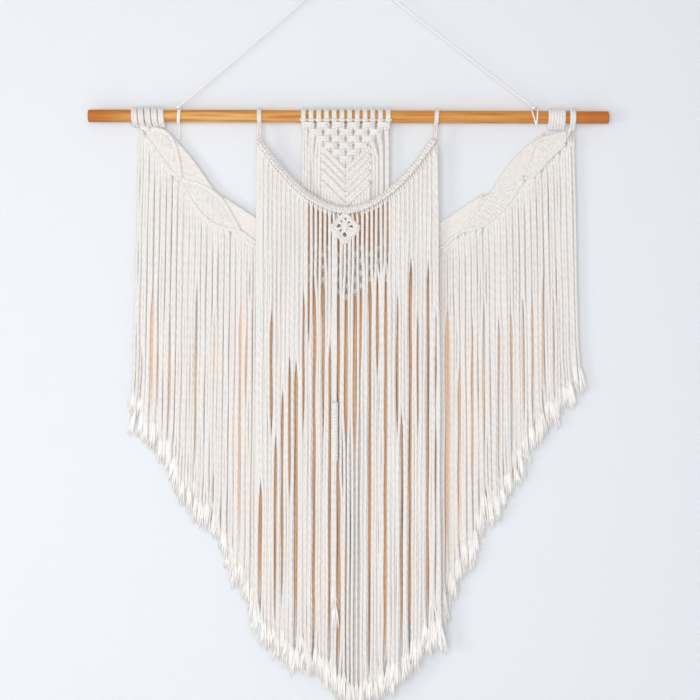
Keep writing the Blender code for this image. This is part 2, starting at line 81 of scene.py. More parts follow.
# Layers, as depths from the dowel's axis
SWAG_Y = -12.2
SWAG_REAR_Y = -9.4
PANEL_Y = -1.5
BAND_Y = 6.4
CENTRE_FRINGE_Y = -2.6
WING_FRINGE_Y = 4.4
INNER_FRINGE_Y = 8.2
REAR_FRINGE_Y = 12.4
WALL_Y = 22 * MM
HALF_WIDTH = 400

FRINGE_TIPS = (
    # x, drop
    (-378, 545),
    (-340, 597),
    (-313, 615),
    (-294, 664),
    (-267, 709),
    (-225, 745),
    (-202, 806),
    (-169, 868),
    (-148, 921),
    (-98, 969),
    (-39, 990),
    (-10, 1034),
    (12, 1046),
    (75, 1017),
    (107, 989),
    (132, 955),
    (163, 929),
    (179, 885),
    (198, 829),
    (223, 783),
    (241, 727),
    (271, 702),
    (307, 639),
    (325, 586),
    (355, 556),
    (390, 516),
    (416, 469),
)

# Where the strands of the fringe part and the painted warm shade on the strands behind them shows
PARTINGS = (
    # x, from drop, to drop, width
    (-358, 375, 542, 2.6),
    (-341, 296, 542, 5.0),
    (-331, 384, 595, 3.4),
    (-309, 322, 551, 1.8),
    (-264, 279, 656, 4.2),
    (-232, 322, 709, 1.8),
    (-186, 322, 806, 3.0),
    (-175, 349, 472, 2.6),
    (-170, 249, 305, 2.4),
    (-148, 620, 850, 6.5),
    (-131, 323, 534, 4.4),
    (-123, 534, 876, 4.0),
    (-110, 455, 825, 3.8),
    (-97, 402, 640, 4.0),
    (-86, 411, 920, 6.0),
    (-73, 288, 534, 3.2),
    (-65, 279, 376, 4.0),
    (-54, 270, 964, 5.0),
    (-39, 230, 534, 4.4),
    (-28, 376, 946, 4.4),
    (-14, 262, 499, 4.4),
    (-9, 620, 946, 4.2),
    (0, 262, 534, 4.6),
    (16, 262, 534, 4.6),
    (27, 230, 411, 3.8),
    (43, 262, 946, 5.0),
    (56, 240, 428, 4.4),
    (70, 240, 969, 5.5),
    (91, 288, 534, 3.4),
    (100, 499, 946, 4.4),
    (113, 230, 929, 5.0),
    (127, 323, 534, 3.0),
    (144, 235, 885, 4.4),
    (158, 305, 850, 3.4),
    (178, 323, 832, 8.0),
    (199, 430, 753, 4.4),
    (224, 330, 700, 2.4),
    (243, 300, 640, 2.6),
    (269, 330, 640, 3.2),
    (293, 330, 595, 4.0),
    (313, 300, 569, 3.0),
    (329, 300, 560, 3.0),
    (346, 260, 534, 2.8),
    (366, 300, 530, 2.8),
)

# Lower edge of the back garland, where its fringe is rooted
ROOT_LINE = (
    # x, drop
    (-364, 27),
    (-351, 42),
    (-334, 66),
    (-316, 92),
    (-303, 107),
    (-292, 119),
    (-272, 151),
    (-253, 175),
    (-227, 193),
    (-186, 207),
    (-165, 222),
    (-148, 238),
    (-98, 274),
    (-56, 286),
    (0, 323),
    (56, 289),
    (84, 280),
    (112, 262),
    (148, 246),
    (170, 234),
    (195, 212),
    (234, 200),
    (260, 180),
    (285, 151),
    (311, 117),
    (346, 94),
    (376, 63),
    (396, 40),
)


def place(x, drop, y):
    """A point in metres from a table's x, drop and depth, all in millimetres."""
    return Vector((x * MM, y * MM, -(DOWEL_DROP + drop * MM)))


def drop_of(point):
    """The drop in millimetres of a point in metres."""
    return -(point.z + DOWEL_DROP) / MM


def between(table, x):
    """The drop at x on a line given by rows of x and drop."""
    if x <= table[0][0]:
        return table[0][1]
    for (x0, drop0), (x1, drop1) in zip(table, table[1:]):
        if x <= x1:
            return drop0 + (drop1 - drop0) * (x - x0) / (x1 - x0)
    return table[-1][1]


def along(line, share):
    """The point at a share of the length of a line of points."""
    lengths = [(b - a).length for a, b in zip(line, line[1:])]
    left = share * sum(lengths)
    for a, b, length in zip(line, line[1:], lengths):
        if left <= length:
            return a.lerp(b, left / length)
        left -= length
    return line[-1].copy()


def smooth_line(points, step):
    """Points about `step` apart on a smooth curve through the given ones."""
    ends = [2 * points[0] - points[1], *points, 2 * points[-1] - points[-2]]
    line = []
    for a, b, c, d in zip(ends, ends[1:], ends[2:], ends[3:]):
        count = max(1, round((c - b).length / step))
        for i in range(count):
            t = i / count
            line.append(
                0.5
                * (
                    2 * b
                    + (c - a) * t
                    + (2 * a - 5 * b + 4 * c - d) * t**2
                    + (3 * b - a - 3 * c + d) * t**3
                )
            )
    line.append(points[-1].copy())
    return line


def ease(share):
    share = max(0.0, min(1.0, share))
    return share * share * (3 - 2 * share)


# Cords and strands


def blunt_widths(line, middle=1.0):
    """Widths for a line of points: even, and a little less at both ends."""
    return [CORD_END_WIDTH, *[middle] * (len(line) - 2), CORD_END_WIDTH]


class Cords:
    """Round cords that are laid one by one and then become one mesh."""

    def __init__(self, seed):
        self.rng = random.Random(seed)
        self.runs = []

    def lay(self, line, widths=None, shades=None):
        """One cord along a line of points, each with a width in cords and a shade."""
        if widths is None:
            widths = blunt_widths(line)
        if shades is None:
            shades = [self.rng.uniform(*CORD_SHADES)] * len(line)
        self.runs.append((line, widths, shades))

    def make(self, name, radius, sides, material, slot, *nodes):
        """The mesh of all the cords laid so far, its UV map in metres along and turns round each."""
        bpy.ops.object.select_all(action="DESELECT")
        bpy.ops.curve.primitive_nurbs_path_add()
        curve = bpy.context.object.data
        curve.splines.clear()
        curve.bevel_depth = radius
        curve.bevel_resolution = sides // 2 - 2
        curve.use_fill_caps = True
        for line, widths, _ in self.runs:
            spline = curve.splines.new("POLY")
            spline.points.add(len(line) - 1)
            spline.points.foreach_set("co", [v for point in line for v in (*point, 1.0)])
            spline.points.foreach_set("radius", widths)
        bpy.context.object.location = (0, 0, 0)
        bpy.ops.object.convert(target="MESH")
        piece = bpy.context.object
        piece.name = piece.data.name = name
        self.measure(piece.data, sides)
        bpy.ops.object.mode_set(mode="EDIT")
        bpy.ops.mesh.select_all(action="SELECT")
        bpy.ops.mesh.remove_doubles(threshold=MERGE)
        bpy.ops.mesh.normals_make_consistent(inside=False)
        bpy.ops.object.mode_set(mode="OBJECT")
        bpy.ops.object.shade_smooth()
        piece.data.materials.clear()
        piece.data.materials.append(material)
        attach(piece, "root")
        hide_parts(*nodes)
        return piece

    def measure(self, mesh, sides):
        """Writes each cord's shade to its points, its painted warm shade full on the front and less
        behind, and its length in metres into the UV map.
        """
        count = len(self.runs)
        rings = numpy.array([len(line) for line, _, _ in self.runs])
        caps = numpy.repeat(numpy.arange(count)[::-1], 2 * sides)
        owner = numpy.concatenate([caps, numpy.repeat(numpy.arange(count), rings * sides)])
        ends = [shade for _, _, run in reversed(self.runs) for shade in (run[-1], run[0])]
        shades = numpy.array(ends + [shade for _, _, run in self.runs for shade in run])
        ends = [end.y for line, _, _ in reversed(self.runs) for end in (line[-1], line[0])]
        middles = numpy.array(ends + [point.y for line, _, _ in self.runs for point in line])
        places = numpy.empty(3 * len(mesh.vertices), dtype=numpy.float32)
        mesh.vertices.foreach_get("co", places)
        # Painted warm shade fades from each cord's front to its back
        behind = (places[1::3] - numpy.repeat(middles, sides)) / CORD_RADIUS
        facing = numpy.clip(1 - SHADE_FALL * behind, SHADE_BEHIND, 1)
        layer = mesh.attributes.new("shade", "FLOAT", "POINT")
        values = (numpy.repeat(shades, sides) * facing).astype(numpy.float32)
        layer.data.foreach_set("value", values)
        lengths = numpy.array(
            [sum((b - a).length for a, b in zip(line, line[1:])) for line, _, _ in self.runs]
        )
        starts = numpy.array([self.rng.random() for _ in self.runs])
        corners = numpy.empty(len(mesh.loops), dtype=numpy.int32)
        mesh.loops.foreach_get("vertex_index", corners)
        uv = numpy.empty(2 * len(corners), dtype=numpy.float32)
        layer = mesh.uv_layers[0]
        layer.uv.foreach_get("vector", uv)
        uv = uv.reshape(-1, 2)
        uv[:, 0] = uv[:, 0] * lengths[owner[corners]] + starts[owner[corners]]
        layer.uv.foreach_set("vector", uv.ravel())


HITCH_PITCH = 4.7 * MM
HITCH_POINTS = 8
HITCH_RING = 2.1 * MM
HITCH_CORE_WIDTH = 1.55
HITCH_CORE_STEP = 6 * MM


def hitched_ridge(cords, points, ring=HITCH_RING):
    """A row of double half hitches: wraps that wind round a holding cord along the points."""
    line = smooth_line(points, HITCH_PITCH / HITCH_POINTS)
    travelled = 0.0
    wraps = []
    for i, point in enumerate(line):
        ahead, behind = line[min(i + 1, len(line) - 1)], line[max(i - 1, 0)]
        if i:
            travelled += (point - line[i - 1]).length
        direction = (ahead - behind).normalized()
        across = direction.cross(Vector((0, 1, 0))).normalized()
        angle = TWO_PI * travelled / HITCH_PITCH
        out = across * math.cos(angle) + Vector((0, math.sin(angle), 0))
        wraps.append(point + out * ring)
    cords.lay(wraps)
    core = smooth_line(points, HITCH_CORE_STEP)
    cords.lay(core, [HITCH_CORE_WIDTH] * len(core))


# One square knot: its two bars, the loops at its sides and the two cords inside it
KNOT_SHAPES = (
    # x, drop, y of each point
    (
        (-6.2, -6.6, 1.6),
        (-7.4, -3.8, -1.4),
        (-4.6, -2.4, -4.4),
        (0.0, -1.8, -5.4),
        (4.6, -2.0, -4.8),
        (7.0, -1.6, -2.4),
        (6.8, 0.8, 0.8),
    ),
    (
        (6.4, -1.4, 0.8),
        (7.0, 1.6, -2.4),
        (4.6, 2.0, -4.8),
        (0.0, 1.8, -5.4),
        (-4.6, 2.4, -4.4),
        (-7.2, 3.8, -1.6),
        (-6.2, 6.6, 1.6),
    ),
    (
        (6.0, -6.6, 1.2),
        (7.5, -3.4, -3.0),
        (7.8, 0.0, -4.4),
        (7.5, 3.4, -3.0),
        (6.0, 6.6, 1.2),
    ),
    (
        (-6.0, -6.4, 1.6),
        (-7.5, -3.2, -1.2),
        (-7.9, 0.0, -2.4),
        (-7.5, 3.2, -1.2),
        (-6.0, 6.4, 1.6),
    ),
    ((-2.5, -8.4, 0.0), (-2.5, 0.0, -1.4), (-2.5, 8.4, 0.0)),
    ((2.5, -8.4, 0.0), (2.5, 0.0, -1.4), (2.5, 8.4, 0.0)),
)
KNOT_BARS = 2
KNOT_BAR_WIDTH = 1.22


def square_knot(cords, x, drop, y, width=1.0, height=1.0, warm=0.0):
    """A square knot with its middle at x and drop, started from its left or its right."""
    side = cords.rng.choice((-1, 1))
    # warm adds painted warm shade to the knot's cords
    shade = cords.rng.uniform(*PALE_SHADES) + warm
    for i, shape in enumerate(KNOT_SHAPES):
        points = [place(x + side * dx * width, drop + dd * height, y + dy) for dx, dd, dy in shape]
        line = smooth_line(points, KNOT_STEP)
        thick = KNOT_BAR_WIDTH if i < KNOT_BARS else 1.0
        cords.lay(line, blunt_widths(line, thick), [shade] * len(line))


# The two cords from one side of a knot to the near side of a knot in the next row
LINKS = (
    # x and drop from the first knot, the same at the middle, x and drop from the second, forward by
    ((2.6, 5.0), (4.4, 6.4), (-6.6, -3.0), 1.6),
    ((6.4, 2.0), (10.4, 5.6), (-2.9, -3.4), 2.6),
)


def links(cords, x0, drop0, x1, drop1, y, warm=0.0):
    """The two cords that run from one knot down to its neighbour."""
    side = 1 if x1 > x0 else -1
    for near, middle, far, forward in LINKS:
        points = [
            place(x0 + side * near[0], drop0 + near[1], y),
            place(x0 + side * middle[0], drop0 + middle[1], y - forward),
            place(x1 + side * far[0], drop1 + far[1], y),
        ]
        line = smooth_line(points, BEND_STEP)
        # warm gives the cords painted warm shade instead of a random tone
        cords.lay(line, None, [warm] * len(line) if warm else None)


HEAD_RING_RADIUS = 13.4
HEAD_SIZE = (1.8, 1.0)
# The turn round the dowel, in degrees, and the share of it at which a lean is nil
HEAD_TURN_FROM = 262
HEAD_TURN_TO = -60
HEAD_TURN_STEP = 14
HEAD_UPRIGHT_AT = 0.6
HEAD_BAR = (
    # x, drop, y of each point
    (-4.6, 6.6, -9.6),
    (-4.0, 7.4, -13.2),
    (0.0, 8.2, -15.2),
    (4.0, 7.4, -13.2),
    (4.6, 6.6, -9.6),
)


def larks_head(cords, x, y, lean=0.0, foot=18.0, bar_in_front=True, size=HEAD_SIZE):
    """Two turns of cord round the dowel side by side, held by a bar, that end at `foot` in layer y.

    The size is how far each turn lies from the head's middle, and how thick it is.
    """
    apart, thick = size
    for offset in (-apart, apart):
        points = []
        for degrees in range(HEAD_TURN_FROM, HEAD_TURN_TO - 1, -HEAD_TURN_STEP):
            angle = math.radians(degrees)
            share = (HEAD_TURN_FROM - degrees) / (HEAD_TURN_FROM - HEAD_TURN_TO)
            points.append(
                place(
                    x + offset + lean * (share - HEAD_UPRIGHT_AT),
                    -HEAD_RING_RADIUS * math.sin(angle),
                    -HEAD_RING_RADIUS * math.cos(angle),
                )
            )
        points.append(place(x + offset + lean * HEAD_UPRIGHT_AT, foot, y))
        turns = smooth_line(points, BEND_STEP)
        cords.lay(turns, [thick] * len(turns))
    turn = 1 if bar_in_front else -1
    bar = [place(x + dx, drop, turn * dy) for dx, drop, dy in HEAD_BAR]
    cords.lay(smooth_line(bar, KNOT_STEP))


PARTING_OPENS_OVER = 60
PARTING_CLOSES_OVER = 90
PARTING_RUNS_ON = 60
PARTING_SLACK = 2.2


def parting_strength(drop, top, bottom):
    opening = ease((drop - top) / PARTING_OPENS_OVER)
    return opening * ease((bottom + PARTING_RUNS_ON - drop) / PARTING_CLOSES_OVER)


def parted(x, drop, home_x):
    """x after the partings have pushed a strand away, each to the side on which its home lies."""
    shift = 0.0
    for centre, top, bottom, width in PARTINGS:
        edge = max(0.0, width - PARTING_SLACK) / 2 + CORD_RADIUS / MM
        side = 1 if home_x > centre else -1
        away = side * (x - centre)
        if away < 2 * edge and abs(home_x - centre) < 4 * edge:
            strength = parting_strength(drop, top, bottom)
            shift += side * (edge + max(away, 0) / 2 - away) * strength
    return x + shift


WARM_FROM = (
    # x, drop from which the inner strands get painted warm shade
    (-380, 70),
    (-335, 120),
    (-305, 150),
    (-285, 215),
    (-150, 225),
    (-80, 215),
    (80, 205),
    (150, 205),
    (175, 235),
    (250, 190),
    (330, 115),
    (400, 80),
)
# Painted warm shade: this much on every inner strand, and all of it near a parting
WARM_EVERYWHERE = 0.16
WARM_REACH = 2.4
WARM_ABOVE_PARTING = 40
WARM_BELOW_PARTING = 30
WARM_STARTS_OVER = 60
# The painted warm shade fades towards a strand's tip
PALE_TIP = 40
PALE_TIP_OVER = 90
# Below the middle of the swag's rope the inner strands get painted warm shade down to the net
UNDER_ROPE_REACH = 84
UNDER_ROPE_DROP = 285


def painted_warm_shade(x, drop, tip_drop):
    """How much painted warm shade a strand of an inner layer gets at a place: most where the strands
    before it part.
    """
    most = 0.0
    for centre, top, bottom, width in PARTINGS:
        near = 1 - max(0.0, abs(x - centre) - width / 2) / WARM_REACH
        if near > 0:
            strength = parting_strength(drop, top - WARM_ABOVE_PARTING, bottom + WARM_BELOW_PARTING)
            most = max(most, near * strength)
    base = WARM_EVERYWHERE + (1 - WARM_EVERYWHERE) * most
    started = ease((drop - between(WARM_FROM, x)) / WARM_STARTS_OVER)
    base *= started * ease((tip_drop - drop - PALE_TIP) / PALE_TIP_OVER)
    below_rope = ease((drop - swag_drop(x) + 2) / 8) * ease((UNDER_ROPE_DROP - drop) / 20)
    return max(base, below_rope * ease((UNDER_ROPE_REACH - abs(x)) / 12))


# Drops over which a hidden strand comes out aside
ASIDE_FROM = 285
ASIDE_OVER = 90

# A strand's two slow waves, and the lengths over which it takes them up and reaches its layer
WAVE_SIZES = (0.1, 0.55)
WAVE_LENGTHS = (130, 420)
WAVE_TURN = 6.28
WAVES_START_OVER = 90
LAYER_REACHED_OVER = 60
DEPTH_WAVE = 0.5
DEPTH_WAVE_LENGTH = 70
STRAND_ROOT_WIDTH = 0.8
STRAND_END_WIDTH = 0.35

BRUSH_LENGTH = 46
BRUSH_LENGTH_SHARES = (0.8, 1.1)
BRUSH_NECK_AT = 0.8
# How far the cord's own end runs on into its brush, and how much of the brush's lean it takes up
CORD_IN_BRUSH = 0.35
CORD_LEAN = 0.3
BRUSH_SPREAD = 7.5
BRUSH_LOCKS = 9
BRUSH_FIBRES = 4
BRUSH_LEAN = 7
BRUSH_LEAN_SHARES = (0.2, 1.4)
BRUSH_LEAN_SPREAD = 2.4
BRUSH_BEND_OVER = 50
FIBRE_WIDTH = 0.42
FIBRE_STRAY = 1.35
LOCK_STEP = 10 * MM
LOCK_TAPER = 0.78
LOCK_REACHES = (0.7, 1.0)
LOCK_BACK = 4
LOCK_OUT = 1.2
LOCK_BEND = 0.6
TIP_SPREAD = 14


def ragged_tip(rng, x, shorter=0, spread=TIP_SPREAD):
    """The drop at which a strand is cut: on the fringe's slanting edge or a little above it."""
    return between(FRINGE_TIPS, x) - shorter - abs(rng.gauss(0, spread))


def hanging_strand(
    cords, tufts, start, tip_drop, y, fan=0.0, warm=0.0, follow=1.0, thick=1.0, aside=0.0
):
    """A strand from its first points straight down to a frayed tip.

    It wanders a little, follows the partings of the fringe and ends in a brush of fibres. It may
    be thicker than the other cords, or come out aside from behind the strand in front of it.
    """
    rng = cords.rng
    root = start[-1]
    root_x, root_drop, root_y = root.x / MM, drop_of(root), root.y / MM
    waves = [
        (rng.uniform(*WAVE_SIZES), rng.uniform(*WAVE_LENGTHS), rng.uniform(0, WAVE_TURN))
        for _ in (1, 2)
    ]
    neck_drop = tip_drop - BRUSH_LENGTH * BRUSH_NECK_AT
    length = neck_drop - root_drop
    steps = max(3, round(length * MM / STRAND_STEP))
    lean = (root_x / HALF_WIDTH) * BRUSH_LEAN * rng.uniform(*BRUSH_LEAN_SHARES)
    lean += rng.gauss(0, BRUSH_LEAN_SPREAD)
    pale = rng.uniform(*PALE_SHADES)
    line = list(start)
    shades = []
    # The painted warm shade along the strand, on top of its pale random tone
    for point in start:
        shades.append(pale + warm * painted_warm_shade(point.x / MM, drop_of(point), tip_drop))
    for i in range(1, steps + 1):
        t = i / steps
        drop = root_drop + length * t
        settle = ease(length * t / WAVES_START_OVER)
        x = root_x + fan * t + aside * ease((drop - ASIDE_FROM) / ASIDE_OVER)
        x += (parted(x, drop, root_x + aside + fan / 2) - x) * follow
        x += settle * sum(a * math.sin(drop / w * WAVE_TURN + p) for a, w, p in waves)
        x += CORD_LEAN * lean * ease((drop - (neck_drop - BRUSH_BEND_OVER)) / BRUSH_BEND_OVER)
        depth = root_y + (y - root_y) * ease(length * t / LAYER_REACHED_OVER)
        depth += settle * DEPTH_WAVE * math.sin(drop / DEPTH_WAVE_LENGTH + waves[0][2])
        line.append(place(x, drop, depth))
        shades.append(pale + warm * painted_warm_shade(x, drop, tip_drop))
    heading = Vector((lean, rng.uniform(-1.5, 1.5), -BRUSH_LENGTH)).normalized()
    brush(tufts, line[-1], heading, pale)
    line.append(line[-1] + heading * CORD_IN_BRUSH * BRUSH_LENGTH * MM)
    shades.append(pale)
    widths = [STRAND_ROOT_WIDTH, *[thick] * (len(line) - 2), STRAND_END_WIDTH]
    cords.lay(line, widths, shades)


def brush(tufts, neck, heading, shade):
    """The frayed end of a strand: locks and single fibres that fan out from its neck."""
    rng = tufts.rng
    length = BRUSH_LENGTH * MM * rng.uniform(*BRUSH_LENGTH_SHARES)
    for i in range(BRUSH_LOCKS + BRUSH_FIBRES):
        width, stray = (1.0, 1.0) if i < BRUSH_LOCKS else (FIBRE_WIDTH, FIBRE_STRAY)
        angle = rng.uniform(0, TWO_PI)
        out = Vector((math.cos(angle), 0.5 * math.sin(angle), 0))
        out *= BRUSH_SPREAD * MM * math.sqrt(rng.random()) * stray
        reach = length * rng.uniform(*LOCK_REACHES)
        start = neck - heading * LOCK_BACK * MM + out.normalized() * LOCK_OUT * MM
        middle = neck + heading * reach * 0.45 + out * 0.55
        middle.x += rng.gauss(0, LOCK_BEND) * MM
        line = smooth_line([start, middle, neck + heading * reach + out], LOCK_STEP)
        last = len(line) - 1
        widths = [width * (1 - LOCK_TAPER * (j / last) ** 2) for j in range(last + 1)]
        tufts.lay(line, widths, [shade] * len(line))


# Materials


class Reading:
    """A shader value that Python arithmetic turns into Math nodes."""

    def __init__(self, paint, socket):
        self.paint = paint
        self.socket = socket

    def __add__(self, other):
        return self.paint.maths("ADD", self, other)

    def __sub__(self, other):
        return self.paint.maths("SUBTRACT", self, other)

    def __mul__(self, other):
        return self.paint.maths("MULTIPLY", self, other)

    def __radd__(self, other):
        return self.paint.maths("ADD", other, self)

    def __rsub__(self, other):
        return self.paint.maths("SUBTRACT", other, self)

    def __rmul__(self, other):
        return self.paint.maths("MULTIPLY", other, self)


class Paint:
    """A material whose nodes are made one call at a time."""

    def __init__(self, name, roughness):
        self.material = bpy.data.materials.new(name)
        self.material.use_nodes = True
        self.tree = self.material.node_tree
        self.shader = self.tree.nodes["Principled BSDF"]
        self.shader.inputs["Roughness"].default_value = roughness

    def node(self, kind, settings, sockets, output=0):
        made = self.tree.nodes.new(kind)
        for name, value in settings.items():
            if name == "stops":
                self.set_stops(made.color_ramp, value)
            else:
                setattr(made, name, value)
        for name, value in sockets.items():
            self.feed(made.inputs[name], value)
        return Reading(self, made.outputs[output])

    def set_stops(self, ramp, stops):
        for i, (position, colour) in enumerate(stops):
            stop = ramp.elements[i] if i < 2 else ramp.elements.new(position)
            stop.position = position
            stop.color = (*colour, 1.0)

    def feed(self, socket, value):
        if isinstance(value, Reading):
            self.tree.links.new(value.socket, socket)
        elif isinstance(value, tuple) and socket.type == "RGBA":
            socket.default_value = (*value, 1.0)
        else:
            socket.default_value = value

    def maths(self, operation, first, second=0.0):
        return self.node("ShaderNodeMath", {"operation": operation}, {0: first, 1: second})

    def mix(self, share, first, second, blend="MIX"):
        """A colour between two, which may be colours or readings."""
        settings = {"data_type": "RGBA", "blend_type": blend}
        return self.node("ShaderNodeMix", settings, {0: share, 6: first, 7: second}, 2)

    def finish(self, colour, height, distance, strength=1.0):
        self.feed(self.shader.inputs["Base Color"], colour)
        sockets = {"Height": height, "Distance": distance, "Strength": strength}
        self.feed(self.shader.inputs["Normal"], self.node("ShaderNodeBump", {}, sockets))
        return self.material


CREAM = (0.866, 0.848, 0.828)
# Painted warm shade for strands deep in the fringe, also used for a random tone of the cotton
WARM_SHADE_AND_TONE = (0.84, 0.46, 0.21)
# Paler cotton for the frayed ends and the twine: a lighter copy of the cream, painted light that makes
# them look brighter
PALE_TUFT = (0.975, 0.965, 0.95)
# How much of each colour is left in the painted shade of the grooves between plies
GROOVE_SHADE_TINT = (0.92, 0.84, 0.75)
# Fuzz that brightens the cord's edges
COTTON_SOFTNESS = {
    "Sheen Weight": 0.8,
    "Sheen Roughness": 0.5,
    "Specular IOR Level": 0.2,
}


def twisted_cotton(name, cream, warm, plies, pitch, relief):
    """Cotton cord: plies that wind round each cord along its UV map, with fine fibres, painted shade in
    the grooves and painted warm shade where the shade attribute asks.
    """
    paint = Paint(name, 0.92)
    for socket, value in COTTON_SOFTNESS.items():
        paint.shader.inputs[socket].default_value = value
    uv = paint.node("ShaderNodeUVMap", {"uv_map": "UVMap"}, {})
    length = paint.node("ShaderNodeSeparateXYZ", {}, {0: uv}, 0)
    turn = paint.node("ShaderNodeSeparateXYZ", {}, {0: uv}, 1)
    wind = plies * turn + length * (1 / pitch)
    ply = paint.maths("SINE", wind * TWO_PI) * 0.5 + 0.5
    fibre_place = paint.node("ShaderNodeCombineXYZ", {}, {0: wind * 5.0, 1: length * 90.0})
    fibre = paint.node(
        "ShaderNodeTexNoise", {}, {"Vector": fibre_place, "Scale": 1.0, "Detail": 3.0}
    )
    where = paint.node("ShaderNodeTexCoord", {}, {}, 3)
    cloud = paint.node("ShaderNodeTexNoise", {}, {"Vector": where, "Scale": 14.0, "Detail": 2.0})
    shade = paint.node("ShaderNodeAttribute", {"attribute_name": "shade"}, {}, 2)
    # The shade attribute mixes in the painted warm shade, and a small random tone
    colour = paint.mix(shade, cream, warm)
    # Painted shade in the grooves between plies and between fibres
    groove_shade = (1 - ply) * 0.5 + (1 - fibre) * 0.25
    groove_shade_colour = tuple(c * d for c, d in zip(cream, GROOVE_SHADE_TINT))
    colour = paint.mix(groove_shade * 0.32, colour, groove_shade_colour)
    # A random cloud of tone towards the warm colour
    colour = paint.mix((cloud - 0.5) * 0.16, colour, warm)
    return paint.finish(colour, ply * 0.75 + fibre * 0.3, relief)


PINE_STREAKS = (
    # place in the streaks' noise, colour
    (0.37, (0.50, 0.18, 0.035)),
    (0.64, (0.86, 0.50, 0.17)),
    (0.50, (0.73, 0.37, 0.090)),
)
PINE_PORES = (0.46, 0.17, 0.04)
PINE_REDDER = (0.60, 0.22, 0.035)
PINE_ENDS = (0.50, 0.135, 0.016)


def honey_wood():
    """Oiled pine: grain along the dowel, with streaks, pores and redder ends."""
    paint = Paint("honey pine", 0.5)
    paint.shader.inputs["Specular IOR Level"].default_value = 0.3
    where = paint.node("ShaderNodeTexCoord", {}, {}, 3)
    stretch = {"Vector": where, "Scale": (7.0, 190.0, 190.0)}
    grain_place = paint.node("ShaderNodeMapping", {}, stretch)
    streaks = paint.node(
        "ShaderNodeTexNoise", {}, {"Vector": grain_place, "Scale": 1.0, "Detail": 5.0}
    )
    fine_place = paint.node(
        "ShaderNodeMapping", {}, {"Vector": where, "Scale": (30.0, 900.0, 900.0)}
    )
    fine = paint.node("ShaderNodeTexNoise", {}, {"Vector": fine_place, "Scale": 1.0, "Detail": 4.0})
    colour = paint.node("ShaderNodeValToRGB", {"stops": PINE_STREAKS}, {0: streaks})
    colour = paint.mix(fine * 0.3, colour, PINE_PORES)
    along_dowel = paint.node("ShaderNodeSeparateXYZ", {}, {0: where}, 0)
    end = paint.node(
        "ShaderNodeMapRange",
        {},
        {"Value": paint.maths("ABSOLUTE", along_dowel), "From Min": 0.34, "From Max": 0.43},
    )
    redder = paint.node(
        "ShaderNodeMapRange", {}, {"Value": along_dowel, "From Min": -0.25, "From Max": 0.2}
    )
    colour = paint.mix(redder * 0.5, colour, PINE_REDDER)
    colour = paint.mix(end * 0.85, colour, PINE_ENDS)
    return paint.finish(colour, streaks * 0.4 + fine * 0.6, 0.0003)


# Dowel, hanging cord and ties


def twine_route():
    """The hanging cord's middle line: a nearly straight leg to each tie from a bend over the hook."""
    centre = Vector((0, 0, TWINE_RADIUS - HOOK_BEND_RADIUS))
    legs = []
    contacts = []
    for x, side in ((LEFT_TIE_X, -1), (RIGHT_TIE_X, 1)):
        tie = Vector((x, 0, -DOWEL_DROP + DOWEL_RADIUS + TWINE_END_HEIGHT))
        away = tie - centre
        contact = math.atan2(away.z, away.x) % TWO_PI
        contact += side * math.acos(HOOK_BEND_RADIUS / away.length)
        contacts.append(contact % TWO_PI)
        arm = Vector((math.cos(contact), 0, math.sin(contact)))
        touch = centre + arm * HOOK_BEND_RADIUS
        leg = []
        for i in range(TWINE_POINTS_A_LEG):
            t = i / TWINE_POINTS_A_LEG
            leg.append(tie.lerp(touch, t) - arm * TWINE_BOW * math.sin(math.pi * t))
        legs.append(leg)
    bend = []
    for i in range(HOOK_BEND_POINTS):
        angle = contacts[0] + (contacts[1] - contacts[0]) * i / (HOOK_BEND_POINTS - 1)
        bend.append(centre + Vector((math.cos(angle), 0, math.sin(angle))) * HOOK_BEND_RADIUS)
    return legs[0] + bend + legs[1][::-1]


TIE_RING = 13.0
TIE_SIDES = 6
TIE_KNOT = (
    # drop and reach of each turn of the knot
    (-15.2, 3.4),
    (-17.4, 2.6),
)
TIE_KNOT_WAVE = 0.9
TIE_KNOT_DEPTH = 2.4
TIE_KNOT_POINTS = 13


def tie(name, x, turns, tail, material):
    """Turns of twine round the dowel, each with its top and foot x, a knot on top and a free tail."""
    cords = Cords(SEED + len(name))
    for top, foot in turns:
        ring = []
        for degrees in range(-6, 355, 15):
            angle = math.radians(degrees)
            share = (1 - math.cos(angle)) / 2
            ring.append(
                place(
                    top + (foot - top) * share,
                    -TIE_RING * math.cos(angle),
                    -TIE_RING * math.sin(angle),
                )
            )
        cords.lay(smooth_line(ring, KNOT_STEP))
    for drop, reach in TIE_KNOT:
        loop = []
        for i in range(TIE_KNOT_POINTS):
            angle = TWO_PI * i / (TIE_KNOT_POINTS - 0.5)
            lifted = drop + TIE_KNOT_WAVE * math.sin(angle * 2)
            y = TIE_KNOT_DEPTH * math.sin(angle)
            loop.append(place(x + reach * math.cos(angle), lifted, y))
        cords.lay(smooth_line(loop, KNOT_STEP))
    cords.lay(smooth_line([place(x + dx, drop, y) for dx, drop, y in tail], KNOT_STEP * 2))
    return cords.make(name + "_wrap", TWINE_RADIUS, TIE_SIDES, material, "cotton_twine", name)


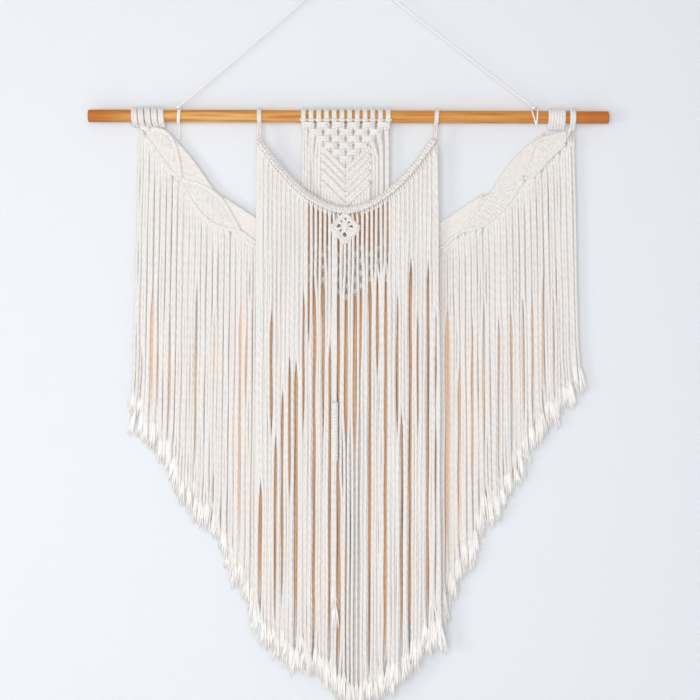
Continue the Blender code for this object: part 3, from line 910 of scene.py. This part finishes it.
def hang_dowel():
    twine = twisted_cotton("thin cotton twine", PALE_TUFT, WARM_SHADE_AND_TONE, 2, 0.007, 0.0004)
    route = twine_route()
    cords = Cords(SEED)
    cords.lay(route, [1.0] * len(route), [0.0] * len(route))
    names = "cotton_twine", "hanging_cord"
    cord = cords.make("hanging_twine", TWINE_RADIUS, CORD_SIDES, twine, *names)
    left_x, right_x = LEFT_TIE_X / MM, RIGHT_TIE_X / MM
    left = tie(
        "left_tie",
        left_x,
        ((left_x, left_x - 1.5), (left_x + 3.2, left_x + 1.0)),
        ((0, -16, 2), (-1.5, -13, 11), (-0.5, 0, 14.5), (0.5, 18, 13.8), (0, 40, 13.5)),
        twine,
    )
    right = tie(
        "right_tie",
        right_x,
        ((right_x - 5.5, right_x + 3), (right_x + 6, right_x + 4.5)),
        ((0, -16, 2), (3, -18.5, 6), (7, -17.5, 7.5)),
        twine,
    )
    length = sum((b - a).length for a, b in zip(route, route[1:]))
    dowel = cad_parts["dowel"]
    dowel.data.materials.clear()
    dowel.data.materials.append(honey_wood())


# Centre panel

PANEL_X = -1
NET_ROWS = 6
NET_PITCH = 26.5
NET_ROW_DROP = 11.8
NET_TOP_DROP = 15.4
NET_TOP_FORWARD = 5.0
NET_KNOT_SIZE = (1.1, 1.14)
PANEL_HEADS = 12
PANEL_HEAD_PITCH = 13.5
CHEVRON_TIPS = (96, 110, 124, 138, 157)
CHEVRON_REACH = 43
CHEVRON_TOP = 46
CHEVRON_TOP_TIP = 84
CHEVRON_Y = -3.4
CHEVRON_MIDDLE_DROPS = (76, 115, 154)
CHEVRON_WEFT_PITCH = 5.0
CHEVRON_STRANDS = 8
CHEVRON_STRAND_PITCH = 5.4
# Behind the garland's net, and how far to each side
PANEL_BACK_Y = 4.4
PANEL_BACK_REACH = 62
PANEL_STRAND_WIDTH = 1.1
PANEL_BACK_WIDTH = 1.25
PANEL_SHORTER = 25
PANEL_TIP_SPREAD = 26
PANEL_EDGE_STRANDS = (
    # x from the panel's middle and drop of the root, x lower down
    (-73.0, 20, -74.6),
    (-68.6, 20, -69.4),
    (-62.4, 30, -64.2),
    (-57.2, 32, -59.0),
    (-49.6, 40, -52.8),
    (-45.0, 46, -46.9),
    (73.0, 20, 74.0),
    (69.6, 20, 71.4),
    (60.0, 32, 63.6),
    (56.0, 32, 61.8),
    (47.0, 44, 55.2),
    (44.6, 46, 49.3),
    (42.0, 58, 43.8),
)


def net_knots():
    """Row, place in the row, x and drop of each knot of the panel's net, in rows of six to one."""
    for row in range(NET_ROWS):
        count = NET_ROWS - row
        for i in range(count):
            x = PANEL_X + (i - (count - 1) / 2) * NET_PITCH
            yield row, i, x, NET_TOP_DROP + row * NET_ROW_DROP


def centre_panel(cotton, tuft):
    cords = Cords(SEED + 1)
    for i in range(PANEL_HEADS):
        x = PANEL_X + (i - (PANEL_HEADS - 1) / 2) * PANEL_HEAD_PITCH
        larks_head(cords, x, PANEL_Y - NET_TOP_FORWARD, foot=NET_TOP_DROP - 1)
    knots = {(row, i): (x, drop) for row, i, x, drop in net_knots()}
    for (row, i), (x, drop) in knots.items():
        y = PANEL_Y - (NET_TOP_FORWARD if row == 0 else 0)
        square_knot(cords, x, drop, y, *NET_KNOT_SIZE)
        for step in (-1, 0):
            if (row + 1, i + step) in knots:
                links(cords, x, drop, *knots[(row + 1, i + step)], PANEL_Y - 0.6)
    chevrons(cords)
    names = "cotton_cord", "centre_panel"
    cords.make("centre_panel_knots", CORD_RADIUS, CORD_SIDES, cotton, *names)

    strands = Cords(SEED + 2)
    ends = Cords(SEED + 3)
    roots = list(PANEL_EDGE_STRANDS)
    for i in range(CHEVRON_STRANDS):
        x = CHEVRON_STRAND_PITCH * (i + 0.5)
        roots += [(side * x, CHEVRON_TIPS[-1] - x + 3, side * x) for side in (-1, 1)]
    for x, drop, lower_x in roots:
        root = place(PANEL_X + x, drop, PANEL_Y)
        lower = place(PANEL_X + lower_x, drop + 26, PANEL_Y)
        start = smooth_line([root + Vector((0, 1 * MM, 7 * MM)), root, lower], 8 * MM)
        end = ragged_tip(strands.rng, PANEL_X + x, PANEL_SHORTER, PANEL_TIP_SPREAD)
        y, thick = PANEL_Y, PANEL_STRAND_WIDTH
        if abs(lower_x) < PANEL_BACK_REACH:
            y, thick = PANEL_BACK_Y, PANEL_BACK_WIDTH
        # The panel's strands get full painted warm shade, for the gaps and the net's holes in front of
        # them
        hanging_strand(strands, ends, start, end, y, warm=1.0, follow=0.3, thick=thick)
    sinnet(strands, ends)
    strands.make("centre_panel_fringe", CORD_RADIUS, CORD_SIDES, cotton, *names)
    ends.make("centre_panel_tufts", LOCK_RADIUS, LOCK_SIDES, tuft, *names)


def chevrons(cords):
    """Five V ridges, with short cords between them, and the two cords down their middle."""
    upper = []
    for side in (-1, 1):
        outer = place(PANEL_X + side * CHEVRON_REACH, CHEVRON_TOP, PANEL_Y)
        upper.append([outer, place(PANEL_X + side * 2.4, CHEVRON_TOP_TIP, PANEL_Y)])
    for tip in CHEVRON_TIPS:
        arms = []
        for side in (-1, 1):
            outer = place(PANEL_X + side * CHEVRON_REACH, tip - CHEVRON_REACH, CHEVRON_Y)
            arm = [outer, place(PANEL_X + side * 0.4, tip - 0.4, CHEVRON_Y)]
            hitched_ridge(cords, arm)
            arms.append(arm)
        for above, arm in zip(upper, arms):
            weft(cords, above, arm)
        upper = arms
    for side in (-1, 1):
        cords.lay([place(PANEL_X + side * 2.2, drop, PANEL_Y + 1) for drop in CHEVRON_MIDDLE_DROPS])


def weft(cords, upper, lower):
    """Short cords laid side by side from one ridge to the ridge below it."""
    length = (upper[-1] - upper[0]).length
    count = max(1, round(length / MM / CHEVRON_WEFT_PITCH))
    for i in range(count):
        t = (i + 0.5) / count
        a, b = along(upper, t), along(lower, t)
        a.y = b.y = PANEL_Y * MM
        cords.lay([a, a.lerp(b, 0.5), b])


SINNET_X = -19
SINNET_DROPS = (505, 600)
SINNET_KNOTS = 16
SINNET_Y = -13.2
SINNET_SIZE = (0.46, 0.5)
SINNET_ROOTS = (132, 150)
SINNET_TIP = 880


def sinnet(strands, ends):
    """A chain of small square knots part of the way down one pair of strands."""
    first, last = SINNET_DROPS
    for offset in (-1.6, 1.6):
        start = [place(SINNET_X + offset, drop, PANEL_Y) for drop in SINNET_ROOTS]
        hanging_strand(strands, ends, start, SINNET_TIP + 12 * offset, SINNET_Y, follow=0.0)
    for i in range(SINNET_KNOTS):
        drop = first + (last - first) * i / (SINNET_KNOTS - 1)
        square_knot(strands, SINNET_X, drop, SINNET_Y, *SINNET_SIZE)


# Front swag

SWAG_HALF_SPAN = 153
SWAG_TOP_DROP = 42
SWAG_SAG = 123
SWAG_CURVE = 1.9
SWAG_HEADS = 40
SWAG_HEAD_SPACING = 9.2
SWAG_SIDE_STRANDS = 3
SWAG_CORE_WIDTH = 2.3
SWAG_CORE_STEP = 9
SWAG_STRAND_WIDTH = 1.06
SWAG_LEG = (
    # n across the rope, y of each point of a head's leg
    (4.6, 2.6),
    (0.0, 4.4),
    (-4.0, 2.4),
    (-4.8, -0.6),
    (-3.2, -3.8),
    (0.0, -5.0),
    (3.2, -4.4),
    (6.6, -2.2),
)
SWAG_BAR = (
    # along the rope, across it, y
    (-4.6, 2.0, -2.6),
    (-3.7, 2.5, -5.8),
    (0.0, 2.8, -7.0),
    (3.7, 2.5, -5.8),
    (4.6, 2.0, -2.6),
)
# In the middle the rear strands hang hidden behind the front ones, down to the net
SWAG_OPEN_REACH = 74
SWAG_LOOPS = (
    # x on the dowel, x of the rope's end, lean
    (-153, -152.5, 1.0),
    (159, 153.5, -4.0),
)
DIAMOND_X = -2
DIAMOND_TOP = 170
DIAMOND_HALF = (25, 26)


def swag_drop(x):
    share = min(1.0, abs(x) / SWAG_HALF_SPAN)
    return SWAG_TOP_DROP + SWAG_SAG * (1 - share**SWAG_CURVE)


def swag_frame(x):
    """Unit vectors along and across the rope at x, as (x, drop) pairs."""
    left, right = max(x - 1, -SWAG_HALF_SPAN), min(x + 1, SWAG_HALF_SPAN)
    run, rise = right - left, swag_drop(right) - swag_drop(left)
    size = math.hypot(run, rise)
    return (run / size, rise / size), (-rise / size, run / size)


def front_swag(cotton, tuft):
    cords = Cords(SEED + 4)
    strands = Cords(SEED + 5)
    ends = Cords(SEED + 6)
    span = range(-SWAG_HALF_SPAN, SWAG_HALF_SPAN + 1, SWAG_CORE_STEP)
    core = [place(x, swag_drop(x), SWAG_Y) for x in span]
    cords.lay(core, [SWAG_CORE_WIDTH] * len(core))
    pitch = 2 * SWAG_HALF_SPAN / SWAG_HEADS
    for i in range(SWAG_HEADS):
        swag_head(cords, strands, ends, -SWAG_HALF_SPAN + pitch * (i + 0.5), pitch)
    for x, end_x, lean in SWAG_LOOPS:
        larks_head(cords, x, -10, lean, 20, False)
        for offset in (-2.2, 2.2):
            points = [
                place(x + offset + 0.6 * lean, 16, -9),
                place((x + end_x) / 2 + offset * 0.9, 30, SWAG_Y + 1),
                place(end_x + offset, SWAG_TOP_DROP + 4, SWAG_Y),
                place(end_x + offset * 1.3, SWAG_TOP_DROP + 16, SWAG_Y + 1),
            ]
            cords.lay(smooth_line(points, KNOT_STEP * 2))
    for side, shift in ((-1, 0), (1, 8)):
        for i in range(SWAG_SIDE_STRANDS):
            x = side * (SWAG_HALF_SPAN - 2.5 + 2.4 * i)
            start = [
                place(side * (SWAG_HALF_SPAN - 2), SWAG_TOP_DROP + 2 + 2 * i, SWAG_Y + 1),
                place(x * 0.995, SWAG_TOP_DROP + 8 + 5 * i, SWAG_Y),
                place(x + side * shift * 0.4, SWAG_TOP_DROP + 20 + 6 * i, SWAG_Y),
            ]
            tip = ragged_tip(strands.rng, x)
            hanging_strand(strands, ends, smooth_line(start, 5 * MM), tip, SWAG_Y, side * shift)
    diamond(cords, strands, ends)
    names = "cotton_cord", "front_swag"
    cords.make("front_swag_knots", HEAD_CORD_RADIUS, CORD_SIDES, cotton, *names)
    strands.make("front_swag_fringe", CORD_RADIUS, CORD_SIDES, cotton, *names)
    ends.make("front_swag_tufts", LOCK_RADIUS, LOCK_SIDES, tuft, *names)


def swag_head(cords, strands, ends, x, pitch):
    """One lark's head on the rope, whose two ends hang as a front and a rear strand."""
    tangent, across = swag_frame(x)
    drop = swag_drop(x)
    spacing = pitch / tangent[0]
    wide = spacing / SWAG_HEAD_SPACING

    def on_rope(u, n, y):
        return place(
            x + tangent[0] * u + across[0] * n,
            drop + tangent[1] * u + across[1] * n,
            SWAG_Y + y,
        )

    bar = [on_rope(u * wide, n, y) for u, n, y in SWAG_BAR]
    cords.lay(smooth_line(bar, KNOT_STEP))
    below = x + across[0] * SWAG_LEG[-1][0]
    for side in (-1, 1):
        leg = [on_rope(side * spacing / 4, n, y) for n, y in SWAG_LEG]
        cords.lay(smooth_line(leg, KNOT_STEP * 1.2))
        foot = leg[-1]
        hidden = abs(below) < SWAG_OPEN_REACH
        aside = pitch / 2 if side > 0 else 0.0
        strand_x = below if hidden else below + aside
        strand_y = SWAG_Y if side < 0 else SWAG_REAR_Y
        under = place(strand_x, drop_of(foot) + 9, strand_y)
        start = [foot, foot.lerp(under, 0.4), under]
        above_diamond = abs(strand_x - DIAMOND_X) < DIAMOND_HALF[0] - 1
        if above_diamond and side < 0:
            stop = place(strand_x, diamond_top(strand_x) + 2, SWAG_Y)
            cords.lay([*start[:2], start[1].lerp(stop, 0.5), stop])
        elif not above_diamond:
            tip = ragged_tip(strands.rng, strand_x)
            comes_out = aside if hidden else 0.0
            hanging_strand(
                strands, ends, start, tip, strand_y, thick=SWAG_STRAND_WIDTH, aside=comes_out
            )


def diamond_top(x):
    """The drop of the diamond's upper sides at x."""
    share = min(1.0, abs(x - DIAMOND_X) / DIAMOND_HALF[0])
    return DIAMOND_TOP + DIAMOND_HALF[1] * share


DIAMOND_RING = 2.7 * MM
DIAMOND_BAR_WIDTHS = (1.0, 1.25, 1.0)
DIAMOND_SPOKE_REACHES = (4, 10, 17)
DIAMOND_SPOKE_WIDTH = 1.3
DIAMOND_COLLAR_WIDTH = 1.5
# Inside it: short bars on the spokes of a small wheel, with a collar round them
DIAMOND_HEART_LIFT = -2.5
DIAMOND_BARS = (
    # half length, drop from the heart
    (2.6, -9.0),
    (5.2, -5.6),
    (7.0, -2.0),
    (7.0, 1.6),
    (5.2, 5.2),
    (2.6, 8.6),
)
DIAMOND_SPOKES = (22, 66, 104, 146, 202, 246, 290, 315, 338)
DIAMOND_COLLAR = (
    # x, drop from the heart
    (1, -20),
    (-9.6, -10.4),
    (-17, 1),
    (-9.4, 12),
    (0, 22),
    (9.4, 12),
    (17, 1),
    (9.6, -10.4),
    (-1, -20),
)
DIAMOND_STRANDS = (
    # x from the diamond's middle, y from the swag
    (-20.7, 0),
    (-15.4, 0),
    (-6.9, 0),
    (-5.6, 3.8),
    (0.2, 0),
    (7.4, 0),
    (8.6, 3.8),
    (14.6, 0),
    (22.4, 3.8),
)


def diamond(cords, strands, ends):
    """A small open diamond of hitched bars round a knotted heart, with strands from its lower sides."""
    half_x, half_drop = DIAMOND_HALF
    middle = DIAMOND_TOP + half_drop
    y = SWAG_Y - 1.0
    top, bottom = place(DIAMOND_X, DIAMOND_TOP + 1, y), place(DIAMOND_X, middle + half_drop, y)
    for side in (-1, 1):
        corner = place(DIAMOND_X + side * half_x, middle, y)
        hitched_ridge(cords, [top, corner], DIAMOND_RING)
        hitched_ridge(cords, [corner, bottom], DIAMOND_RING)
    centre = middle + DIAMOND_HEART_LIFT
    for x, drop in DIAMOND_BARS:
        bar = [place(DIAMOND_X + sign * x, centre + drop, y - 1.2) for sign in (-1, 1)]
        cords.lay([bar[0], bar[0].lerp(bar[1], 0.5), bar[1]], DIAMOND_BAR_WIDTHS)
    for degrees in DIAMOND_SPOKES:
        out = Vector((math.cos(math.radians(degrees)), 0, math.sin(math.radians(degrees)))) * MM
        hub = place(DIAMOND_X, centre, y)
        spoke = [hub + out * reach for reach in DIAMOND_SPOKE_REACHES]
        cords.lay(spoke, [DIAMOND_SPOKE_WIDTH] * len(spoke))
    collar = [place(DIAMOND_X + x, centre + drop, y + 0.3) for x, drop in DIAMOND_COLLAR]
    collar = smooth_line(collar, KNOT_STEP * 2)
    cords.lay(collar, [DIAMOND_COLLAR_WIDTH] * len(collar))
    for x_from_middle, y_from_swag in DIAMOND_STRANDS:
        x = DIAMOND_X + x_from_middle
        drop = middle + half_drop * (1 - abs(x_from_middle) / half_x)
        start = [place(x, drop - 3, y + 1), place(x, drop + 2, y + 0.5)]
        hanging_strand(strands, ends, start, ragged_tip(strands.rng, x), SWAG_Y + y_from_swag)


# Back garland

BACK_HEAD_SIZE = (2.45, 1.14)
RIDGE_Y = BAND_Y - 1.6
BACK_HEADS = (
    # x, lean, foot
    (-372.6, 4.0, 17),
    (-361.2, 4.5, 17),
    (-349.4, 5.0, 17),
    (-337.6, 4.5, 17),
    (-326.0, 4.0, 18),
    (359.4, -1.5, 20),
    (369.2, -1.0, 20),
    (379.0, -0.5, 20),
    (397.0, 0.0, 22),
)
RIDGES = {
    # x, drop along each row of hitches
    "left upper": ((-344, 21), (-318, 28), (-302, 49), (-295, 77), (-291, 106)),
    "left lower": ((-351, 36), (-334, 60), (-316, 86), (-303, 101), (-292, 112)),
    "left mid upper": ((-293, 108), (-278, 114), (-248, 124), (-221, 144), (-205, 168), (-188, 198)),
    "left mid lower": ((-292, 114), (-282, 130), (-272, 148), (-254, 172), (-230, 190), (-187, 202)),
    "left end": ((-190, 200), (-180, 206), (-165, 217), (-148, 227), (-120, 240), (-92, 256)),
    "right upper": ((388, 26), (362, 33), (336, 42), (323, 72), (313, 102)),
    "right lower": ((385, 45), (362, 66), (341, 90), (326, 104), (313, 106)),
    "right mid upper": ((313, 104), (300, 117), (272, 130), (244, 142), (225, 168), (209, 196)),
    "right mid lower": ((312, 108), (300, 127), (285, 151), (262, 174), (236, 192), (209, 200)),
    "right end": ((211, 197), (200, 203), (185, 214), (170, 228), (140, 245), (110, 262)),
}
EDGES = {
    # x, drop along each free edge of the wings
    "left inner": ((-322, 16), (-299, 42), (-274, 73), (-248, 107), (-225, 138)),
    "right inner": ((341, 16), (318, 46), (293, 76), (270, 104), (248, 131)),
    "left inner start": ((-326, 14), (-316, 30), (-302, 49), (-295, 77), (-289, 106)),
    "right inner start": ((356, 20), (344, 32), (336, 42), (323, 72), (311, 100)),
    "left low start": ((-219, 140), (-213, 150), (-203, 170), (-190, 192)),
    "left low end": ((-98, 218), (-98, 232), (-98, 248), (-98, 262)),
    "right low start": ((243, 134), (236, 146), (224, 168), (212, 190)),
    "right low end": ((116, 220), (116, 234), (114, 250), (112, 266)),
    "left shoulder": ((-370, 13), (-362, 19), (-354, 23), (-344, 24)),
    "right shoulder": ((397, 14), (396, 22), (392, 27), (386, 30)),
}
CELLS = (
    # from line, to line, cords, bulge
    ("left upper", "left lower", 27, 1.2),
    ("left mid upper", "left mid lower", 34, 1.2),
    ("right upper", "right lower", 27, 1.2),
    ("right mid upper", "right mid lower", 34, 1.2),
    ("left low start", "left low end", 17, 0.8),
    ("right low start", "right low end", 17, 0.8),
)
BACK_NET_PITCH = 28
BACK_NET_Y = BAND_Y - 3.6
# Painted warm shade on the net's knots, which lie in shade behind the swag
BACK_NET_WARM_SHADE = 0.12
BACK_NET_KNOT_SIZE = (1.08, 1.0)
BACK_NET_ROWS = (
    # drop, x of the row's middle knot, reach to each side
    (231, 0, 84),
    (242, 14, 100),
    (253, 0, 106),
    (264, 14, 100),
    (275, 0, 84),
    (286, 14, 72),
    (297, 0, 34),
    (307, 14, 30),
    (317, 0, 4),
)


def lined(table, y):
    return [place(x, drop, y) for x, drop in table]


def flow(cords, start_line, end_line, count, bulge):
    """Cords laid side by side from one line to another, a little proud at their middle."""
    for i in range(count):
        t = (i + 0.5) / count
        a, b = along(start_line, t), along(end_line, t)
        middle = a.lerp(b, 0.5)
        middle.y -= bulge * MM
        cords.lay(smooth_line([a, middle, b], WING_STEP))


def back_garland(cotton, tuft):
    cords = Cords(SEED + 7)
    for x, lean, foot in BACK_HEADS:
        larks_head(cords, x, BAND_Y, lean, foot, False, BACK_HEAD_SIZE)
    ridge_lines = {name: lined(table, RIDGE_Y) for name, table in RIDGES.items()}
    edge_lines = {name: lined(table, BAND_Y) for name, table in EDGES.items()}
    lines = {**ridge_lines, **edge_lines}
    for line in ridge_lines.values():
        hitched_ridge(cords, line)
    for start, end, count, bulge in CELLS:
        flow(cords, lines[start], lines[end], count, bulge)
    wing_triangle(cords, lines["left inner start"], lines["left mid upper"], lines["left inner"])
    wing_triangle(cords, lines["right inner start"], lines["right mid upper"], lines["right inner"])
    shoulders(cords)
    back_net(cords)
    cords.make(
        "back_garland_knots", CORD_RADIUS, CORD_SIDES, cotton, "cotton_cord", "back_garland"
    )
    back_fringe(cotton, tuft)


FAN_CORDS = 14
FAN_REACH = 0.5
FAN_WIDTH = 1.05
FAN_NECK = 0.45
FAN_WIDENS_BY = 0.2


def wing_triangle(cords, start, end, edge):
    """Cords that fan from the upper ridge to the next one, the outermost along the free edge."""
    guide = along(edge, 0.5)
    for i in range(FAN_CORDS):
        t = i / (FAN_CORDS - 1)
        a = along(start, 0.1 + 0.9 * t)
        b = along(end, FAN_REACH * (1 - t))
        straight = a.lerp(b, 0.5)
        middle = straight.lerp(guide, (1 - t) ** 2 * 0.9)
        middle.y = (BAND_Y - 0.5) * MM
        line = smooth_line([a, middle, b], WING_STEP)
        cords.lay(line, [min(FAN_WIDTH, FAN_NECK + FAN_WIDENS_BY * j) for j in range(len(line))])


SHOULDER_CORDS = 5


def shoulders(cords):
    """The cords that turn from the outermost heads into the first ridges."""
    for name, target in (("left shoulder", "left lower"), ("right shoulder", "right lower")):
        start, end = lined(EDGES[name], BAND_Y), lined(RIDGES[target], BAND_Y)
        top = lined(RIDGES[target.replace("lower", "upper")], BAND_Y)
        flow(cords, start, [top[0], top[0].lerp(end[0], 0.5), end[0]], SHOULDER_CORDS, 1.0)


def back_net(cords):
    """Alternating square knots where the wings meet, down to a V."""
    rows = []
    for drop, middle, reach in BACK_NET_ROWS:
        row = []
        for k in range(-5, 6):
            x = middle + k * BACK_NET_PITCH
            if abs(x) <= reach:
                row.append(x)
                square_knot(cords, x, drop, BACK_NET_Y, *BACK_NET_KNOT_SIZE, BACK_NET_WARM_SHADE)
        rows.append((drop, row))
    for (drop0, row0), (drop1, row1) in zip(rows, rows[1:]):
        for x0 in row0:
            for x1 in row1:
                if abs(abs(x1 - x0) - BACK_NET_PITCH / 2) < 1:
                    links(cords, x0, drop0, x1, drop1, BACK_NET_Y, BACK_NET_WARM_SHADE)


# The layers of the garland's fringe
WING = 150
PAIR_SQUEEZE = 1.7
FRINGE_JITTER = 0.3
FRINGE_STAGGER = 0.8
FRINGE_FAN = 0.024
FRINGE_THICKNESS = 1.1
INNER_THICKNESS = 1.22
LAYERS = (
    # name, first x, last x, pitch, y, painted warm shade, follows partings, ends shorter by, starts
    # above by
    ("left_front", -364, -WING, 5.1, WING_FRINGE_Y, 0.0, 1.0, 0, 9),
    ("right_front", WING, 399, 5.2, WING_FRINGE_Y, 0.0, 1.0, 0, 11),
    ("centre", -WING + 3, WING - 3, 5.6, CENTRE_FRINGE_Y, 1.0, 0.0, 6, 6),
    ("inner", -360, 392, 5.7, INNER_FRINGE_Y, 0.7, 0.0, 14, 4),
    ("rear", -362, 394, 7.4, REAR_FRINGE_Y, 0.0, 0.0, 8, 10),
)


def back_fringe(cotton, tuft):
    """Cream strands in front and behind, and between them strands with painted warm shade."""
    for name, first, last, pitch, y, warm, follow, shorter, above in LAYERS:
        strands = Cords(SEED + 8 + len(name))
        ends = Cords(SEED + 20 + len(name))
        rng = strands.rng
        count = round((last - first) / pitch)
        for i in range(count + 1):
            x = first + (last - first) * i / count + rng.uniform(-FRINGE_JITTER, FRINGE_JITTER)
            root = between(ROOT_LINE, x)
            fan = FRINGE_FAN * x
            tip = ragged_tip(rng, x + fan, shorter)
            beside = (-1) ** i
            depth = y + FRINGE_STAGGER * beside
            start = [
                place(x + PAIR_SQUEEZE * beside, root - above, BAND_Y + 2),
                place(x + PAIR_SQUEEZE * beside, root + 4, BAND_Y),
                place(x + PAIR_SQUEEZE * 0.2 * beside, root + 13, (BAND_Y + y) / 2),
            ]
            thick = FRINGE_THICKNESS if follow else INNER_THICKNESS
            hanging_strand(strands, ends, start, tip, depth, fan, warm, follow, thick)
        piece, names = f"back_garland_{name}", ("cotton_cord", "back_garland")
        strands.make(f"{piece}_fringe", CORD_RADIUS, CORD_SIDES, cotton, *names)
        ends.make(f"{piece}_tufts", LOCK_RADIUS, LOCK_SIDES, tuft, *names)


# Stage

WALL_SIZE = 7.0
WALL_MIDDLE = -0.6
WALL_COLOUR = (0.805, 0.824, 0.86)
FLOOR_DROP = 1.95
FLOOR_COLOUR = (0.84, 0.85, 0.86)
SKY_COLOUR = (0.93, 0.955, 1.0, 1.0)
SKY_STRENGTH = 0.46
CAMERA_BACK = 3.0
FRAME_WIDTH = 1.23
FRAME_CENTRE = (0.0075, -0.678)
CAMERA_ROLL = -0.18


def add_camera():
    x, z = FRAME_CENTRE
    rotation = (math.pi / 2, math.radians(CAMERA_ROLL), 0)
    bpy.ops.object.camera_add(location=(x, -CAMERA_BACK, z), rotation=rotation)
    camera = bpy.context.object
    camera.name = "camera"
    camera.data.lens = camera.data.sensor_width * CAMERA_BACK / FRAME_WIDTH
    bpy.context.scene.camera = camera


def pale_board(name, colour, front_only):
    paint = Paint(name, 0.95)
    paint.shader.inputs["Base Color"].default_value = (*colour, 1.0)
    if front_only:
        clear = paint.node("ShaderNodeBsdfTransparent", {}, {})
        behind = paint.node("ShaderNodeNewGeometry", {}, {}, 6)
        solid = Reading(paint, paint.shader.outputs[0])
        both = paint.node("ShaderNodeMixShader", {}, {0: behind, 1: solid, 2: clear})
        paint.feed(paint.tree.nodes["Material Output"].inputs["Surface"], both)
    return paint.material


def add_stage():
    bpy.ops.object.select_all(action="DESELECT")
    bpy.ops.mesh.primitive_plane_add(
        size=WALL_SIZE, location=(0, WALL_Y, WALL_MIDDLE), rotation=(math.pi / 2, 0, 0)
    )
    wall = bpy.context.object
    wall.name = "wall"
    # Seen from behind, the wall is clear and light comes through it
    wall.visible_shadow = False
    wall.visible_diffuse = False
    wall.data.materials.append(pale_board("pale wall", WALL_COLOUR, True))
    bpy.ops.mesh.primitive_plane_add(size=WALL_SIZE, location=(0, 0, -FLOOR_DROP))
    floor = bpy.context.object
    floor.name = "floor"
    floor.data.materials.append(pale_board("pale floor", FLOOR_COLOUR, False))


LIGHTS = (
    # name, location, size, watts, colour
    ("soft window", (-2.7, -2.6, -1.0), 1.5, 25, (1.0, 0.99, 0.975)),
    ("broad fill", (-0.4, -3.9, -0.6), 2.2, 70, (1.0, 0.995, 0.985)),
    ("back light", (1.6, 3.0, 1.4), 1.6, 42, (1.0, 0.99, 0.975)),
)
LIT_PLACE = Vector((0, 0, -0.7))


def add_lights():
    for name, location, size, watts, colour in LIGHTS:
        bpy.ops.object.light_add(type="AREA", location=location)
        light = bpy.context.object
        light.name = name
        light.data.shape = "DISK"
        light.data.size = size
        light.data.energy = watts
        light.data.color = colour
        light.rotation_euler = (LIT_PLACE - light.location).to_track_quat("-Z", "Y").to_euler()
    world = bpy.context.scene.world or bpy.data.worlds.new("studio")
    bpy.context.scene.world = world
    world.use_nodes = True
    background = world.node_tree.nodes["Background"]
    background.inputs["Color"].default_value = SKY_COLOUR
    background.inputs["Strength"].default_value = SKY_STRENGTH
    bpy.context.scene.view_settings.view_transform = "Standard"


add_camera()
hang_dowel()
COTTON = twisted_cotton("twisted cotton cord", CREAM, WARM_SHADE_AND_TONE, 3, 0.016, 0.0007)
TUFT = twisted_cotton("frayed cotton", PALE_TUFT, WARM_SHADE_AND_TONE, 1, 0.02, 0.0001)
centre_panel(COTTON, TUFT)
front_swag(COTTON, TUFT)
back_garland(COTTON, TUFT)
add_stage()
add_lights()
